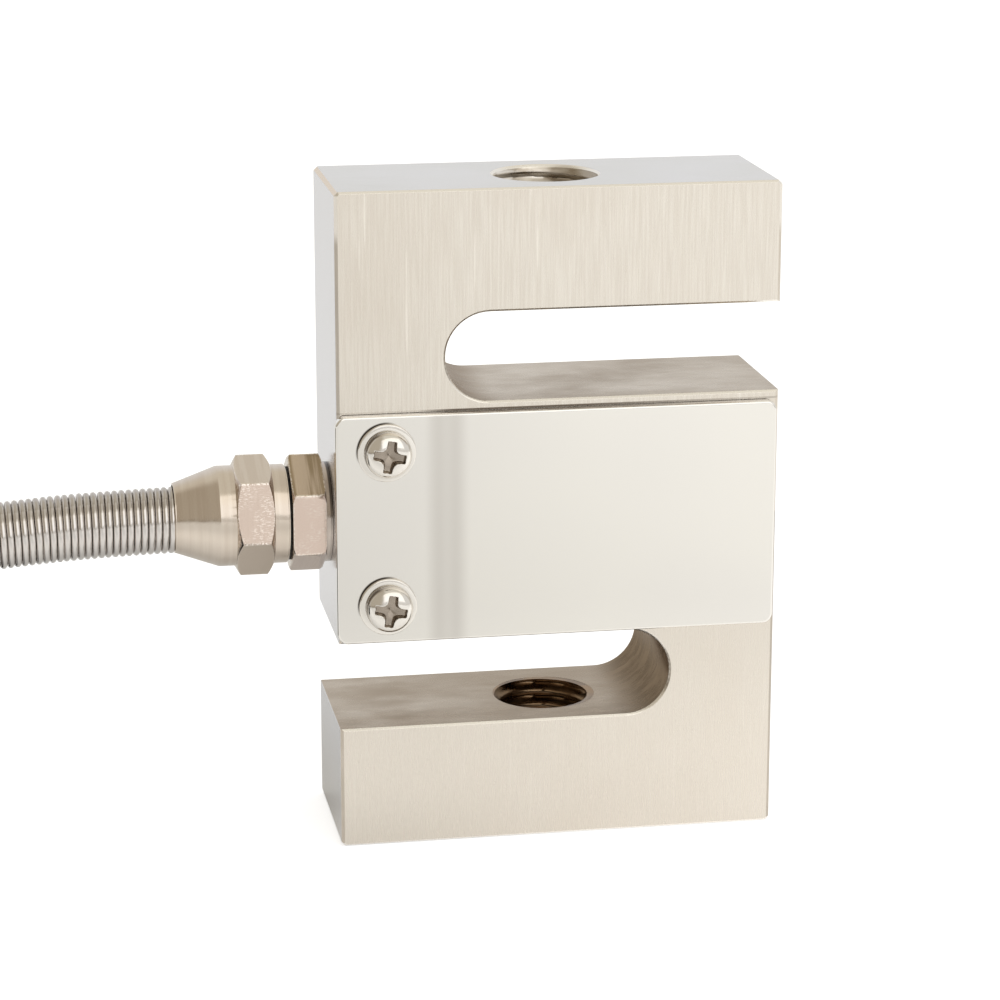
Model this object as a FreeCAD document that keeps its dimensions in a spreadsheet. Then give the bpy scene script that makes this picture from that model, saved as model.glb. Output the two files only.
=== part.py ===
"""S-beam load cell with a sprung cable outlet.

A nickel plated steel block is cut by two slots into an S. The bar between the slots is the
spring element: it has a window with four strain gauges inside, closed by two cover plates.
A gland in the left side lets the cable in. Millimetres, +Z up, the block stands on Z = 0
with its centre line on the Z axis; the cable leaves towards -X, the front face is -Y.
"""

import FreeCAD, Part
import math
import os

import Sketcher
from FreeCAD import Placement, Rotation, Vector

SIZES = {
    # block
    "body_width": 50.8,
    "body_height": 76.2,
    "body_depth": 19.05,
    "upper_arm_height": 13.9,
    "lower_arm_height": 14.2,
    "slot_height": 10.2,
    "column_width": 12.35,
    "corner_chamfer": 0.5,
    "side_chamfer": 0.4,
    "deburring": 0.25,
    "load_thread_diameter": 12.0,
    "load_thread_mouth": 12.6,
    # window in the bar between the slots: two gauge pockets joined by a neck
    "side_wall": 9.4,
    "pocket_height": 17.0,
    "pocket_corner_radius": 3.5,
    "neck_length": 6.0,
    "neck_height": 8.0,
    # cover plates, their gaskets and screws
    "plate_side_inset": 0.1,
    "plate_reach": 4.25,
    "plate_thickness": 1.0,
    "plate_corner_radius": 1.2,
    "plate_edge_round": 0.3,
    "front_plate_shift": -0.37,
    "back_plate_shift": 0.1,
    "plate_drop": 0.35,
    "gasket_thickness": 0.2,
    "gasket_inset": 0.9,
    "gasket_window_margin": 0.3,
    "screw_inset": 5.55,
    "screw_spacing": 17.9,
    "screw_diameter": 3.0,
    "screw_length": 6.0,
    "screw_head_diameter": 5.3,
    "screw_head_height": 1.9,
    "screw_head_rim": 0.8,
    "recess_span": 3.5,
    "recess_arm": 1.0,
    "recess_depth": 0.9,
    "recess_taper": 8.0,
    "recess_turn": -10.0,
    "screw_point_chamfer": 0.4,
    "screw_hole_spare": 0.7,
    "screw_clearance": 0.05,
    "screw_passage_clearance": 0.15,
    "washer_diameter": 7.0,
    "washer_thickness": 0.5,
    # cable gland
    "gland_height": 37.6,
    "gland_thread_diameter": 8.0,
    "gland_thread_length": 6.0,
    "gland_thread_clearance": 0.05,
    "gland_face_diameter": 11.5,
    "gland_face_length": 0.75,
    "gland_hex": 12.0,
    "gland_hex_length": 3.85,
    "hex_chamfer_angle": 30.0,
    "hex_chamfer_inset": 0.1,
    "hex_bevel_inset": 0.45,
    "spigot_diameter": 10.0,
    "spigot_length": 5.0,
    "spigot_clearance": 0.05,
    "seal_thickness": 0.4,
    "seal_diameter": 11.0,
    "nut_hex": 12.0,
    "nut_turn": 15.0,
    "nut_skirt_diameter": 11.4,
    "nut_skirt_length": 1.6,
    "nut_hex_length": 4.3,
    "nut_collar_diameter": 11.56,
    "nut_collar_length": 1.85,
    "nut_cone_length": 4.85,
    "nut_lip_length": 0.15,
    "nut_tip_diameter": 8.1,
    "grommet_diameter": 8.0,
    "grommet_length": 3.5,
    "grommet_clearance": 0.03,
    "thrust_washer_thickness": 0.6,
    "thrust_washer_clearance": 0.2,
    # cable and its spring guard
    "cable_diameter": 5.0,
    "cable_clearance": 0.15,
    "sheath_entry": 9.9,
    "loose_cable_length": 168.0,
    "spring_wire": 0.8,
    "spring_clearance": 0.38,
    "spring_length": 60.0,
    "spring_end_gap": 0.05,
    "spring_seat_depth": 3.65,
    "spring_seat_clearance": 0.1,
    # coil of the cable that is put away
    "coil_x": -107.5,
    "coil_y": 27.5,
    "coil_mean_radius": 30.0,
    "coil_columns": 3,
    "coil_layers": 5,
    "coil_tail": 16.0,
    "tie_thickness": 1.0,
    "tie_width": 4.0,
    "tie_angle_one": 30.0,
    "tie_angle_two": 225.0,
    # conductors, strain gauges and their bridge board
    "core_diameter": 1.2,
    "core_pitch": 1.6,
    "core_end_length": 18.0,
    "core_end_spread": 2.6,
    "board_core_pitch": 2.4,
    "gauge_margin": 0.5,
    "gauge_width": 4.0,
    "gauge_thickness": 0.15,
    "board_length": 5.4,
    "board_width": 14.0,
    "board_thickness": 1.0,
    "lead_diameter": 0.3,
    "lead_pitch": 0.55,
}

doc = FreeCAD.newDocument("s_beam_load_cell")
sheet = doc.addObject("Spreadsheet::Sheet", "Sizes")
for row, (alias, value) in enumerate(SIZES.items(), start=1):
    sheet.set(f"A{row}", alias)
    sheet.set(f"B{row}", str(value))
    sheet.setAlias(f"B{row}", alias)
doc.recompute()


def bound(text):
    """An expression in the names of sizes, with each name as a reference to the sheet."""
    words = text.replace("(", "( ").replace(")", " )").split()
    return " ".join(f"Sizes.{word}" if word in SIZES else word for word in words)


def number(text):
    """The value of an expression in the names of sizes."""
    return float(sheet.evalExpression(bound(text)))


# Places that several pieces share, as expressions in the names of sizes.
HALF_WIDTH = "( body_width / 2 )"
HALF_DEPTH = "( body_depth / 2 )"
UPPER_SLOT_FLOOR = "( body_height - upper_arm_height - slot_height )"
LOWER_SLOT_CEILING = "( lower_arm_height + slot_height )"
WINDOW_HEIGHT = f"( ( {UPPER_SLOT_FLOOR} + {LOWER_SLOT_CEILING} ) / 2 )"
POCKET_FAR = f"( {HALF_WIDTH} - side_wall )"
POCKET_NEAR = "( neck_length / 2 )"
POCKET_CENTRE = f"( ( {POCKET_FAR} + {POCKET_NEAR} ) / 2 )"
GAUGE_LENGTH = f"( {POCKET_FAR} - {POCKET_NEAR} - 2 * ( pocket_corner_radius + gauge_margin ) )"
LEFT_FACE = f"( 0 - {HALF_WIDTH} )"
SCREW_X = f"( screw_inset - {HALF_WIDTH} )"
PLATE_HEIGHT = f"( {WINDOW_HEIGHT} - plate_drop )"
PLATE_HALF_WIDTH = f"( {HALF_WIDTH} - plate_side_inset )"
PLATE_HALF_HEIGHT = "( screw_spacing / 2 + plate_reach )"
PLATE_INSIDE = f"( {HALF_DEPTH} + gasket_thickness )"
WASHER_INSIDE = f"( {PLATE_INSIDE} + plate_thickness )"
HEAD_INSIDE = f"( {WASHER_INSIDE} + washer_thickness )"
SCREW_PASSAGE = "( screw_diameter / 2 + screw_passage_clearance )"
HEX_START = f"( {LEFT_FACE} - gland_face_length )"
SEAL_START = f"( {HEX_START} - gland_hex_length )"
SPIGOT_END = f"( {SEAL_START} - spigot_length )"
NUT_START = f"( {SEAL_START} - seal_thickness )"
NUT_HEX_START = f"( {NUT_START} - nut_skirt_length )"
NUT_COLLAR_START = f"( {NUT_HEX_START} - nut_hex_length )"
NUT_CONE_START = f"( {NUT_COLLAR_START} - nut_collar_length )"
NUT_LIP_START = f"( {NUT_CONE_START} - nut_cone_length )"
NUT_TIP = f"( {NUT_LIP_START} - nut_lip_length )"
SPRING_START = f"( {NUT_TIP} + spring_seat_depth )"
CABLE_HOLE = "( cable_diameter / 2 + cable_clearance )"
SPRING_INSIDE = "( cable_diameter / 2 + spring_clearance )"
SPRING_OUTSIDE = f"( {SPRING_INSIDE} + spring_wire )"


# ---- helpers for sketches and features ------------------------------------------------------

def new_body(name):
    body = doc.addObject("PartDesign::Body", name)
    body.Label = name
    return body


def sketch_on(body, role, name, offset):
    """A sketch on one of the body's own origin planes, moved by expressions in its own axes."""
    sketch = body.newObject("Sketcher::SketchObject", name)
    plane = next(item for item in body.Origin.OriginFeatures if item.Role == role)
    sketch.AttachmentSupport = [(plane, "")]
    sketch.MapMode = "FlatFace"
    for axis, text in offset.items():
        sketch.setExpression(f"AttachmentOffset.Base.{axis}", bound(text))
    return sketch


def hold(sketch, kind, name, places, text):
    """A dimension of a sketch that is bound to an expression."""
    sketch.addConstraint(Sketcher.Constraint(kind, *places, number(text)))
    index = sketch.ConstraintCount - 1
    sketch.renameConstraint(index, name)
    sketch.setExpression(f"Constraints.{name}", bound(text))


def hold_point(sketch, label, geometry, position, x_text, y_text):
    hold(sketch, "DistanceX", f"{label}_x", (-1, 1, geometry, position), x_text)
    hold(sketch, "DistanceY", f"{label}_y", (-1, 1, geometry, position), y_text)


def outline(sketch, label, corners):
    """A closed outline. A corner is (x, y) or, where two square sides are rounded, (x, y, r)."""
    count = len(corners)
    spots = [Vector(number(corner[0]), number(corner[1]), 0) for corner in corners]
    ways = [(spots[(i + 1) % count] - spots[i]).normalize() for i in range(count)]
    arrive = []
    leave = []
    for i, corner in enumerate(corners):
        radius = number(corner[2]) if len(corner) > 2 else 0.0
        arrive.append(spots[i] - ways[i - 1] * radius)
        leave.append(spots[i] + ways[i] * radius)
    lines = []
    for i in range(count):
        segment = Part.LineSegment(leave[i], arrive[(i + 1) % count])
        lines.append(sketch.addGeometry(segment, False))
    for i, corner in enumerate(corners):
        before = lines[i - 1]
        after = lines[i]
        if len(corner) == 2:
            sketch.addConstraint(Sketcher.Constraint("Coincident", before, 2, after, 1))
            hold_point(sketch, f"{label}{i}", after, 1, corner[0], corner[1])
            continue
        inward = ways[i] - ways[i - 1]
        radius = number(corner[2])
        centre = spots[i] + inward * radius
        left_turn = ways[i - 1].cross(ways[i]).z > 0
        first, last = (arrive[i], leave[i]) if left_turn else (leave[i], arrive[i])
        start_angle = math.atan2(first.y - centre.y, first.x - centre.x)
        end_angle = math.atan2(last.y - centre.y, last.x - centre.x)
        circle = Part.Circle(centre, Vector(0, 0, 1), radius)
        arc = sketch.addGeometry(Part.ArcOfCircle(circle, start_angle, end_angle), False)
        arrive_end, leave_end = (1, 2) if left_turn else (2, 1)
        sketch.addConstraint(Sketcher.Constraint("Tangent", before, 2, arc, arrive_end))
        sketch.addConstraint(Sketcher.Constraint("Tangent", arc, leave_end, after, 1))
        side_x = "+" if inward.x > 0 else "-"
        side_y = "+" if inward.y > 0 else "-"
        x_text = f"( {corner[0]} ) {side_x} {corner[2]}"
        y_text = f"( {corner[1]} ) {side_y} {corner[2]}"
        hold_point(sketch, f"{label}{i}", arc, 3, x_text, y_text)
        hold(sketch, "Radius", f"{label}{i}_r", (arc,), corner[2])


def circle(sketch, label, x_text, y_text, radius_text):
    shape = Part.Circle(Vector(number(x_text), number(y_text), 0), Vector(0, 0, 1), number(radius_text))
    index = sketch.addGeometry(shape, False)
    hold_point(sketch, label, index, 3, x_text, y_text)
    hold(sketch, "Radius", f"{label}_r", (index,), radius_text)


def hexagon(sketch, label, flats_text, turn_text):
    """A regular hexagon round the sketch's origin; unturned, its corners point along Y."""
    corners = []
    for i in range(6):
        angle = f"( {60 * i + 30} - {turn_text} )"
        reach = f"{flats_text} / 2 / cos( 30 )"
        corners.append((f"{reach} * cos( {angle} )", f"{reach} * sin( {angle} )"))
    outline(sketch, label, corners)


def pad(body, name, sketch, length_text, backwards):
    feature = body.newObject("PartDesign::Pad", name)
    feature.Profile = sketch
    feature.setExpression("Length", bound(length_text))
    feature.Reversed = backwards
    sketch.Visibility = False
    return feature


def pocket(body, name, sketch, length_text, backwards):
    feature = body.newObject("PartDesign::Pocket", name)
    feature.Profile = sketch
    feature.setExpression("Length", bound(length_text))
    feature.Reversed = backwards
    return feature


def through(body, name, sketch):
    """A pocket all the way through, to both sides of its sketch."""
    feature = body.newObject("PartDesign::Pocket", name)
    feature.Profile = sketch
    feature.Type = "ThroughAll"
    feature.Midplane = True
    return feature


def turn(body, kind, name, sketch, axis):
    """A full revolution or groove about one of the sketch's axes."""
    feature = body.newObject(f"PartDesign::{kind}", name)
    feature.Profile = sketch
    feature.ReferenceAxis = (sketch, [axis])
    feature.Angle = 360.0
    return feature


def edges_where(feature, test):
    """The names of a feature's edges whose middle and direction pass a test."""
    doc.recompute()
    names = []
    for index, edge in enumerate(feature.Shape.Edges, start=1):
        if len(edge.Vertexes) < 2:
            continue
        middle = edge.valueAt((edge.FirstParameter + edge.LastParameter) / 2)
        way = edge.tangentAt((edge.FirstParameter + edge.LastParameter) / 2)
        if test(middle, way):
            names.append(f"Edge{index}")
    return names


def dress(body, kind, name, feature, names, size_text):
    """A chamfer or fillet of the named edges."""
    result = body.newObject(f"PartDesign::{kind}", name)
    result.Base = (feature, names)
    result.setExpression("Radius" if kind == "Fillet" else "Size", bound(size_text))
    return result


def near(one, other):
    return abs(one - other) < 1e-4


def copies(name, template, places):
    """One node of several solids: the same piece at several places, bound to expressions."""
    links = []
    for index, (position, rotation) in enumerate(places, start=1):
        link = doc.addObject("App::Link", f"{name}_{index}")
        link.LinkedObject = template
        link.Placement = Placement(Vector(), rotation)
        for axis, text in zip("xyz", position):
            link.setExpression(f"Placement.Base.{axis}", bound(text))
        links.append(link)
    group = doc.addObject("Part::Compound", name)
    group.Label = name
    group.Links = links
    return group


def primitive(kind, name, position, rotation, lengths):
    """A Part primitive with its sizes and its place bound to expressions."""
    shape = doc.addObject(f"Part::{kind}", name)
    shape.Label = name
    shape.Placement = Placement(Vector(), rotation)
    for axis, text in zip("xyz", position):
        shape.setExpression(f"Placement.Base.{axis}", bound(text))
    for prop, text in lengths.items():
        shape.setExpression(prop, bound(text))
    return shape


def ring(name, position, rotation, outside_text, inside_text, height_text):
    """A flat ring or a short tube: a cylinder less a cylinder."""
    outer = primitive("Cylinder", f"{name}_outside", position, rotation,
                      {"Radius": outside_text, "Height": height_text})
    inner = primitive("Cylinder", f"{name}_inside", position, rotation,
                      {"Radius": inside_text, "Height": height_text})
    cut = doc.addObject("Part::Cut", name)
    cut.Label = name
    cut.Base = outer
    cut.Tool = inner
    return cut


NO_TURN = Rotation()
TO_FRONT = Rotation(Vector(1, 0, 0), 90)
TO_BACK = Rotation(Vector(1, 0, 0), -90)
TO_LEFT = Rotation(Vector(0, 1, 0), -90)


# ---- the block ------------------------------------------------------------------------------

body = new_body("s_beam_body")
base = sketch_on(body, "XZ_Plane", "BlockOutline", {})
outline(base, "c", [
    (LEFT_FACE, "0"),
    (HALF_WIDTH, "0"),
    (HALF_WIDTH, "body_height"),
    (LEFT_FACE, "body_height"),
])
block = pad(body, "Block", base, "body_depth", False)
block.Midplane = True


def slot(name, side, centre_height):
    """A slot from one side that ends in a full round in front of the far column."""
    sketch = sketch_on(body, "XZ_Plane", f"{name}Outline", {})
    radius = number("slot_height / 2")
    mouth = side * number("body_width")
    end_text = f"{-side} * ( {HALF_WIDTH} - column_width - slot_height / 2 )"
    centre = Vector(number(end_text), number(centre_height), 0)
    up = Vector(0, radius, 0)
    lower = sketch.addGeometry(Part.LineSegment(Vector(mouth, centre.y - radius, 0), centre - up), False)
    upper = sketch.addGeometry(Part.LineSegment(centre + up, Vector(mouth, centre.y + radius, 0)), False)
    closing = sketch.addGeometry(
        Part.LineSegment(Vector(mouth, centre.y + radius, 0), Vector(mouth, centre.y - radius, 0)), False)
    full = Part.Circle(centre, Vector(0, 0, 1), radius)
    angles = (-math.pi / 2, math.pi / 2) if side < 0 else (math.pi / 2, 3 * math.pi / 2)
    arc = sketch.addGeometry(Part.ArcOfCircle(full, *angles), False)
    lower_end, upper_end = (1, 2) if side < 0 else (2, 1)
    for constraint in (
        Sketcher.Constraint("Tangent", lower, 2, arc, lower_end),
        Sketcher.Constraint("Tangent", upper, 1, arc, upper_end),
        Sketcher.Constraint("Coincident", upper, 2, closing, 1),
        Sketcher.Constraint("Coincident", closing, 2, lower, 1),
        Sketcher.Constraint("Horizontal", lower),
        Sketcher.Constraint("Horizontal", upper),
        Sketcher.Constraint("Vertical", closing),
    ):
        sketch.addConstraint(constraint)
    hold_point(sketch, "centre", arc, 3, end_text, centre_height)
    hold(sketch, "Radius", "round", (arc,), "slot_height / 2")
    hold(sketch, "DistanceX", "mouth", (-1, 1, lower, 1), f"{side} * body_width")
    return through(body, name, sketch)


slot("LowerSlot", -1, "lower_arm_height + slot_height / 2")
upper_slot = slot("UpperSlot", 1, f"{UPPER_SLOT_FLOOR} + slot_height / 2")

half_width = number(HALF_WIDTH)
half_depth = number(HALF_DEPTH)
height = number("body_height")
corners = edges_where(upper_slot, lambda middle, way: abs(way.y) > 0.99
                      and near(abs(middle.x), half_width)
                      and (near(middle.z, 0) or near(middle.z, height)))
cornered = dress(body, "Chamfer", "CornerChamfer", upper_slot, corners, "corner_chamfer")
sides = edges_where(cornered, lambda middle, way: abs(way.z) > 0.99
                    and near(abs(middle.x), half_width) and near(abs(middle.y), half_depth))
sided = dress(body, "Chamfer", "SideChamfer", cornered, sides, "side_chamfer")
rims = edges_where(sided, lambda middle, way: abs(way.y) < 0.01
                   and near(abs(middle.y), half_depth)
                   and abs(middle.x) < half_width - number("side_chamfer") - 1e-3)
rimmed = dress(body, "Chamfer", "Deburring", sided, rims, "deburring")

window = sketch_on(body, "XZ_Plane", "WindowOutline", {"y": WINDOW_HEIGHT})
outline(window, "w", [
    (f"0 - {POCKET_FAR}", "0 - pocket_height / 2", "pocket_corner_radius"),
    (f"0 - {POCKET_NEAR}", "0 - pocket_height / 2", "pocket_corner_radius"),
    (f"0 - {POCKET_NEAR}", "0 - neck_height / 2"),
    (POCKET_NEAR, "0 - neck_height / 2"),
    (POCKET_NEAR, "0 - pocket_height / 2", "pocket_corner_radius"),
    (POCKET_FAR, "0 - pocket_height / 2", "pocket_corner_radius"),
    (POCKET_FAR, "pocket_height / 2", "pocket_corner_radius"),
    (POCKET_NEAR, "pocket_height / 2", "pocket_corner_radius"),
    (POCKET_NEAR, "neck_height / 2"),
    (f"0 - {POCKET_NEAR}", "neck_height / 2"),
    (f"0 - {POCKET_NEAR}", "pocket_height / 2", "pocket_corner_radius"),
    (f"0 - {POCKET_FAR}", "pocket_height / 2", "pocket_corner_radius"),
])
through(body, "Window", window)

MOUTH = "load_thread_mouth / 2"
BORE = "load_thread_diameter / 2"
BEVEL = "( ( load_thread_mouth - load_thread_diameter ) / 2 )"
lower_bore = sketch_on(body, "XZ_Plane", "LowerThreadProfile", {})
outline(lower_bore, "t", [
    ("0", "0"),
    (MOUTH, "0"),
    (BORE, BEVEL),
    (BORE, "lower_arm_height + slot_height / 4"),
    ("0", "lower_arm_height + slot_height / 4"),
])
turn(body, "Groove", "LowerThread", lower_bore, "V_Axis")
upper_bore = sketch_on(body, "XZ_Plane", "UpperThreadProfile", {})
outline(upper_bore, "t", [
    ("0", "body_height - upper_arm_height - slot_height / 4"),
    (BORE, "body_height - upper_arm_height - slot_height / 4"),
    (BORE, f"body_height - {BEVEL}"),
    (MOUTH, "body_height"),
    ("0", "body_height"),
])
turn(body, "Groove", "UpperThread", upper_bore, "V_Axis")

STUB = "( gland_thread_diameter / 2 + gland_thread_clearance )"
entry = sketch_on(body, "XZ_Plane", "CableEntryProfile", {"y": "gland_height"})
outline(entry, "e", [
    (LEFT_FACE, "0"),
    (f"0 - {POCKET_FAR} + pocket_corner_radius", "0"),
    (f"0 - {POCKET_FAR} + pocket_corner_radius", CABLE_HOLE),
    (f"{LEFT_FACE} + gland_thread_length", CABLE_HOLE),
    (f"{LEFT_FACE} + gland_thread_length", STUB),
    (LEFT_FACE, STUB),
])
turn(body, "Groove", "CableEntry", entry, "H_Axis")

SCREW_DEPTH = f"( screw_length - ( {HEAD_INSIDE} - {HALF_DEPTH} ) + screw_hole_spare )"
for face, offset, backwards in (("Front", HALF_DEPTH, False), ("Back", f"0 - {HALF_DEPTH}", True)):
    holes = sketch_on(body, "XZ_Plane", f"{face}ScrewHoles", {"y": PLATE_HEIGHT, "z": offset})
    circle(holes, "upper", SCREW_X, "screw_spacing / 2", "screw_diameter / 2")
    circle(holes, "lower", SCREW_X, "0 - screw_spacing / 2", "screw_diameter / 2")
    pocket(body, f"{face}Tapping", holes, SCREW_DEPTH, backwards)


# ---- cover plates and gaskets ---------------------------------------------------------------

for side, sign, backwards in (("front", "", False), ("back", "0 - ", True)):
    left = f"( {side}_plate_shift - {PLATE_HALF_WIDTH} )"
    right = f"( {side}_plate_shift + {PLATE_HALF_WIDTH} )"
    plate = new_body(f"{side}_cover_plate")
    flat = sketch_on(plate, "XZ_Plane", f"{side}PlateOutline",
                     {"y": PLATE_HEIGHT, "z": f"{sign}{PLATE_INSIDE}"})
    outline(flat, "p", [
        (left, f"0 - {PLATE_HALF_HEIGHT}", "plate_corner_radius"),
        (right, f"0 - {PLATE_HALF_HEIGHT}", "plate_corner_radius"),
        (right, PLATE_HALF_HEIGHT, "plate_corner_radius"),
        (left, PLATE_HALF_HEIGHT, "plate_corner_radius"),
    ])
    circle(flat, "upper", SCREW_X, "screw_spacing / 2", SCREW_PASSAGE)
    circle(flat, "lower", SCREW_X, "0 - screw_spacing / 2", SCREW_PASSAGE)
    sheet_metal = pad(plate, f"{side}Plate", flat, "plate_thickness", backwards)
    outer_y = number(WASHER_INSIDE)
    hole_x = number(SCREW_X)
    hole_reach = number(SCREW_PASSAGE) + 0.5
    borders = edges_where(sheet_metal, lambda middle, way: near(abs(middle.y), outer_y)
                          and abs(middle.x - hole_x) > hole_reach or near(abs(middle.y), outer_y)
                          and abs(middle.z - number(PLATE_HEIGHT)) > number(f"{PLATE_HALF_HEIGHT} - 0.2"))
    dress(plate, "Fillet", f"{side}PlateEdge", sheet_metal, borders, "plate_edge_round")

    gasket = new_body(f"{side}_cover_gasket")
    frame = sketch_on(gasket, "XZ_Plane", f"{side}GasketOutline",
                      {"y": PLATE_HEIGHT, "z": f"{sign}{HALF_DEPTH}"})
    outline(frame, "g", [
        (f"{left} + gasket_inset", f"gasket_inset - {PLATE_HALF_HEIGHT}"),
        (f"{right} - gasket_inset", f"gasket_inset - {PLATE_HALF_HEIGHT}"),
        (f"{right} - gasket_inset", f"{PLATE_HALF_HEIGHT} - gasket_inset"),
        (f"{left} + gasket_inset", f"{PLATE_HALF_HEIGHT} - gasket_inset"),
    ])
    opening_half = "( pocket_height / 2 + gasket_window_margin )"
    outline(frame, "o", [
        (f"0 - {POCKET_FAR} - gasket_window_margin", f"plate_drop - {opening_half}"),
        (f"{POCKET_FAR} + gasket_window_margin", f"plate_drop - {opening_half}"),
        (f"{POCKET_FAR} + gasket_window_margin", f"plate_drop + {opening_half}"),
        (f"0 - {POCKET_FAR} - gasket_window_margin", f"plate_drop + {opening_half}"),
    ])
    circle(frame, "upper", SCREW_X, "screw_spacing / 2", SCREW_PASSAGE)
    circle(frame, "lower", SCREW_X, "0 - screw_spacing / 2", SCREW_PASSAGE)
    pad(gasket, f"{side}Gasket", frame, "gasket_thickness", backwards)


# ---- cover screws and washers ---------------------------------------------------------------

screw = new_body("screw")
SHANK = "( screw_diameter / 2 - screw_clearance )"
screw_profile = sketch_on(screw, "XZ_Plane", "ScrewProfile", {})
outline(screw_profile, "s", [
    ("0", "0 - screw_length"),
    (f"{SHANK} - screw_point_chamfer", "0 - screw_length"),
    (SHANK, "screw_point_chamfer - screw_length"),
    (SHANK, "0"),
    ("screw_head_diameter / 2", "0"),
    ("screw_head_diameter / 2", "screw_head_height"),
    ("0", "screw_head_height"),
])
turned = turn(screw, "Revolution", "ScrewTurned", screw_profile, "V_Axis")
crown = edges_where(turned, lambda middle, way: near(middle.z, number("screw_head_height")))
crown += [f"Edge{index}" for index, edge in enumerate(turned.Shape.Edges, start=1)
          if len(edge.Vertexes) < 2 and near(edge.CenterOfMass.z, number("screw_head_height"))]
domed = dress(screw, "Fillet", "ScrewCrown", turned, crown, "screw_head_height - screw_head_rim")
cross = sketch_on(screw, "XY_Plane", "CrossOutline", {"z": "screw_head_height"})
SPAN = "recess_span / 2"
ARM = "recess_arm / 2"
outline(cross, "x", [
    (SPAN, f"0 - {ARM}"),
    (SPAN, ARM),
    (ARM, ARM),
    (ARM, SPAN),
    (f"0 - {ARM}", SPAN),
    (f"0 - {ARM}", ARM),
    (f"0 - {SPAN}", ARM),
    (f"0 - {SPAN}", f"0 - {ARM}"),
    (f"0 - {ARM}", f"0 - {ARM}"),
    (f"0 - {ARM}", f"0 - {SPAN}"),
    (ARM, f"0 - {SPAN}"),
    (ARM, f"0 - {ARM}"),
])
recess = pocket(screw, "CrossRecess", cross, "recess_depth", False)
recess.setExpression("TaperAngle", bound("0 - recess_taper"))

UPPER_SCREW = f"{PLATE_HEIGHT} + screw_spacing / 2"
LOWER_SCREW = f"{PLATE_HEIGHT} - screw_spacing / 2"
turned_cross = Rotation(Vector(0, 0, 1), number("recess_turn"))
copies("cover_screws", screw, [
    ((SCREW_X, f"0 - {HEAD_INSIDE}", UPPER_SCREW), TO_FRONT * turned_cross),
    ((SCREW_X, f"0 - {HEAD_INSIDE}", LOWER_SCREW), TO_FRONT * turned_cross),
    ((SCREW_X, HEAD_INSIDE, UPPER_SCREW), TO_BACK),
    ((SCREW_X, HEAD_INSIDE, LOWER_SCREW), TO_BACK),
])
washer = ring("washer", ("0", "0", "0"), NO_TURN, "washer_diameter / 2", SCREW_PASSAGE,
              "washer_thickness")
copies("cover_washers", washer, [
    ((SCREW_X, f"0 - {WASHER_INSIDE}", UPPER_SCREW), TO_FRONT),
    ((SCREW_X, f"0 - {WASHER_INSIDE}", LOWER_SCREW), TO_FRONT),
    ((SCREW_X, WASHER_INSIDE, UPPER_SCREW), TO_BACK),
    ((SCREW_X, WASHER_INSIDE, LOWER_SCREW), TO_BACK),
])


# ---- cable gland ----------------------------------------------------------------------------

def hexagonal(owner, name, start_text, length_text, flats_text, turn_text, inside_text, ends):
    """A hexagonal collar on a turned piece, with its corners turned off at the named ends."""
    sketch = sketch_on(owner, "YZ_Plane", f"{name}Outline", {"y": "gland_height", "z": start_text})
    hexagon(sketch, "h", flats_text, turn_text)
    circle(sketch, "inside", "0", "0", inside_text)
    pad(owner, name, sketch, length_text, False)
    for index, (end_text, way, inset_text) in enumerate(ends, start=1):
        low = f"( {flats_text} / 2 - {inset_text} )"
        high = f"( {flats_text} * 0.6 )"
        run = f"( {high} - {low} ) * tan( hex_chamfer_angle )"
        bevel = sketch_on(owner, "XZ_Plane", f"{name}Bevel{index}", {"y": "gland_height"})
        outline(bevel, "b", [
            (end_text, low),
            (end_text, high),
            (f"{end_text} {way} {run}", high),
        ])
        turn(owner, "Groove", f"{name}Chamfer{index}", bevel, "H_Axis")


SPIGOT = "spigot_diameter / 2"
COUNTERBORE = "grommet_diameter / 2"
gland = new_body("gland_body")
gland_profile = sketch_on(gland, "XZ_Plane", "GlandProfile", {"y": "gland_height"})
outline(gland_profile, "g", [
    (f"{LEFT_FACE} + gland_thread_length", CABLE_HOLE),
    (f"{LEFT_FACE} + gland_thread_length", "gland_thread_diameter / 2"),
    (LEFT_FACE, "gland_thread_diameter / 2"),
    (LEFT_FACE, "gland_face_diameter / 2"),
    (HEX_START, "gland_face_diameter / 2"),
    (HEX_START, SPIGOT),
    (SPIGOT_END, SPIGOT),
    (SPIGOT_END, COUNTERBORE),
    (f"{SPIGOT_END} + grommet_length", COUNTERBORE),
    (f"{SPIGOT_END} + grommet_length", CABLE_HOLE),
])
turn(gland, "Revolution", "GlandTurned", gland_profile, "H_Axis")
hexagonal(gland, "GlandHex", SEAL_START, "gland_hex_length", "gland_hex", "0",
          "( spigot_diameter + cable_diameter ) / 4",
          [(HEX_START, "-", "( 0 - hex_bevel_inset )"), (SEAL_START, "+", "( 0 - hex_bevel_inset )")])

NUT_BORE = "( spigot_diameter / 2 + spigot_clearance )"
SKIRT = "( nut_skirt_diameter / 2 )"
SEAT = f"( {SPRING_OUTSIDE} + spring_seat_clearance )"
SHOULDER = f"( {SPIGOT_END} - thrust_washer_thickness )"
nut = new_body("gland_nut")
nut_profile = sketch_on(nut, "XZ_Plane", "NutProfile", {"y": "gland_height"})
outline(nut_profile, "n", [
    (NUT_START, NUT_BORE),
    (NUT_START, SKIRT),
    (NUT_COLLAR_START, SKIRT),
    (NUT_COLLAR_START, "nut_collar_diameter / 2"),
    (NUT_CONE_START, "nut_collar_diameter / 2"),
    (NUT_LIP_START, "nut_tip_diameter / 2"),
    (NUT_TIP, "nut_tip_diameter / 2"),
    (NUT_TIP, SEAT),
    (SPRING_START, SEAT),
    (SPRING_START, CABLE_HOLE),
    (SHOULDER, CABLE_HOLE),
    (SHOULDER, NUT_BORE),
])
turn(nut, "Revolution", "NutTurned", nut_profile, "H_Axis")
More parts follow.
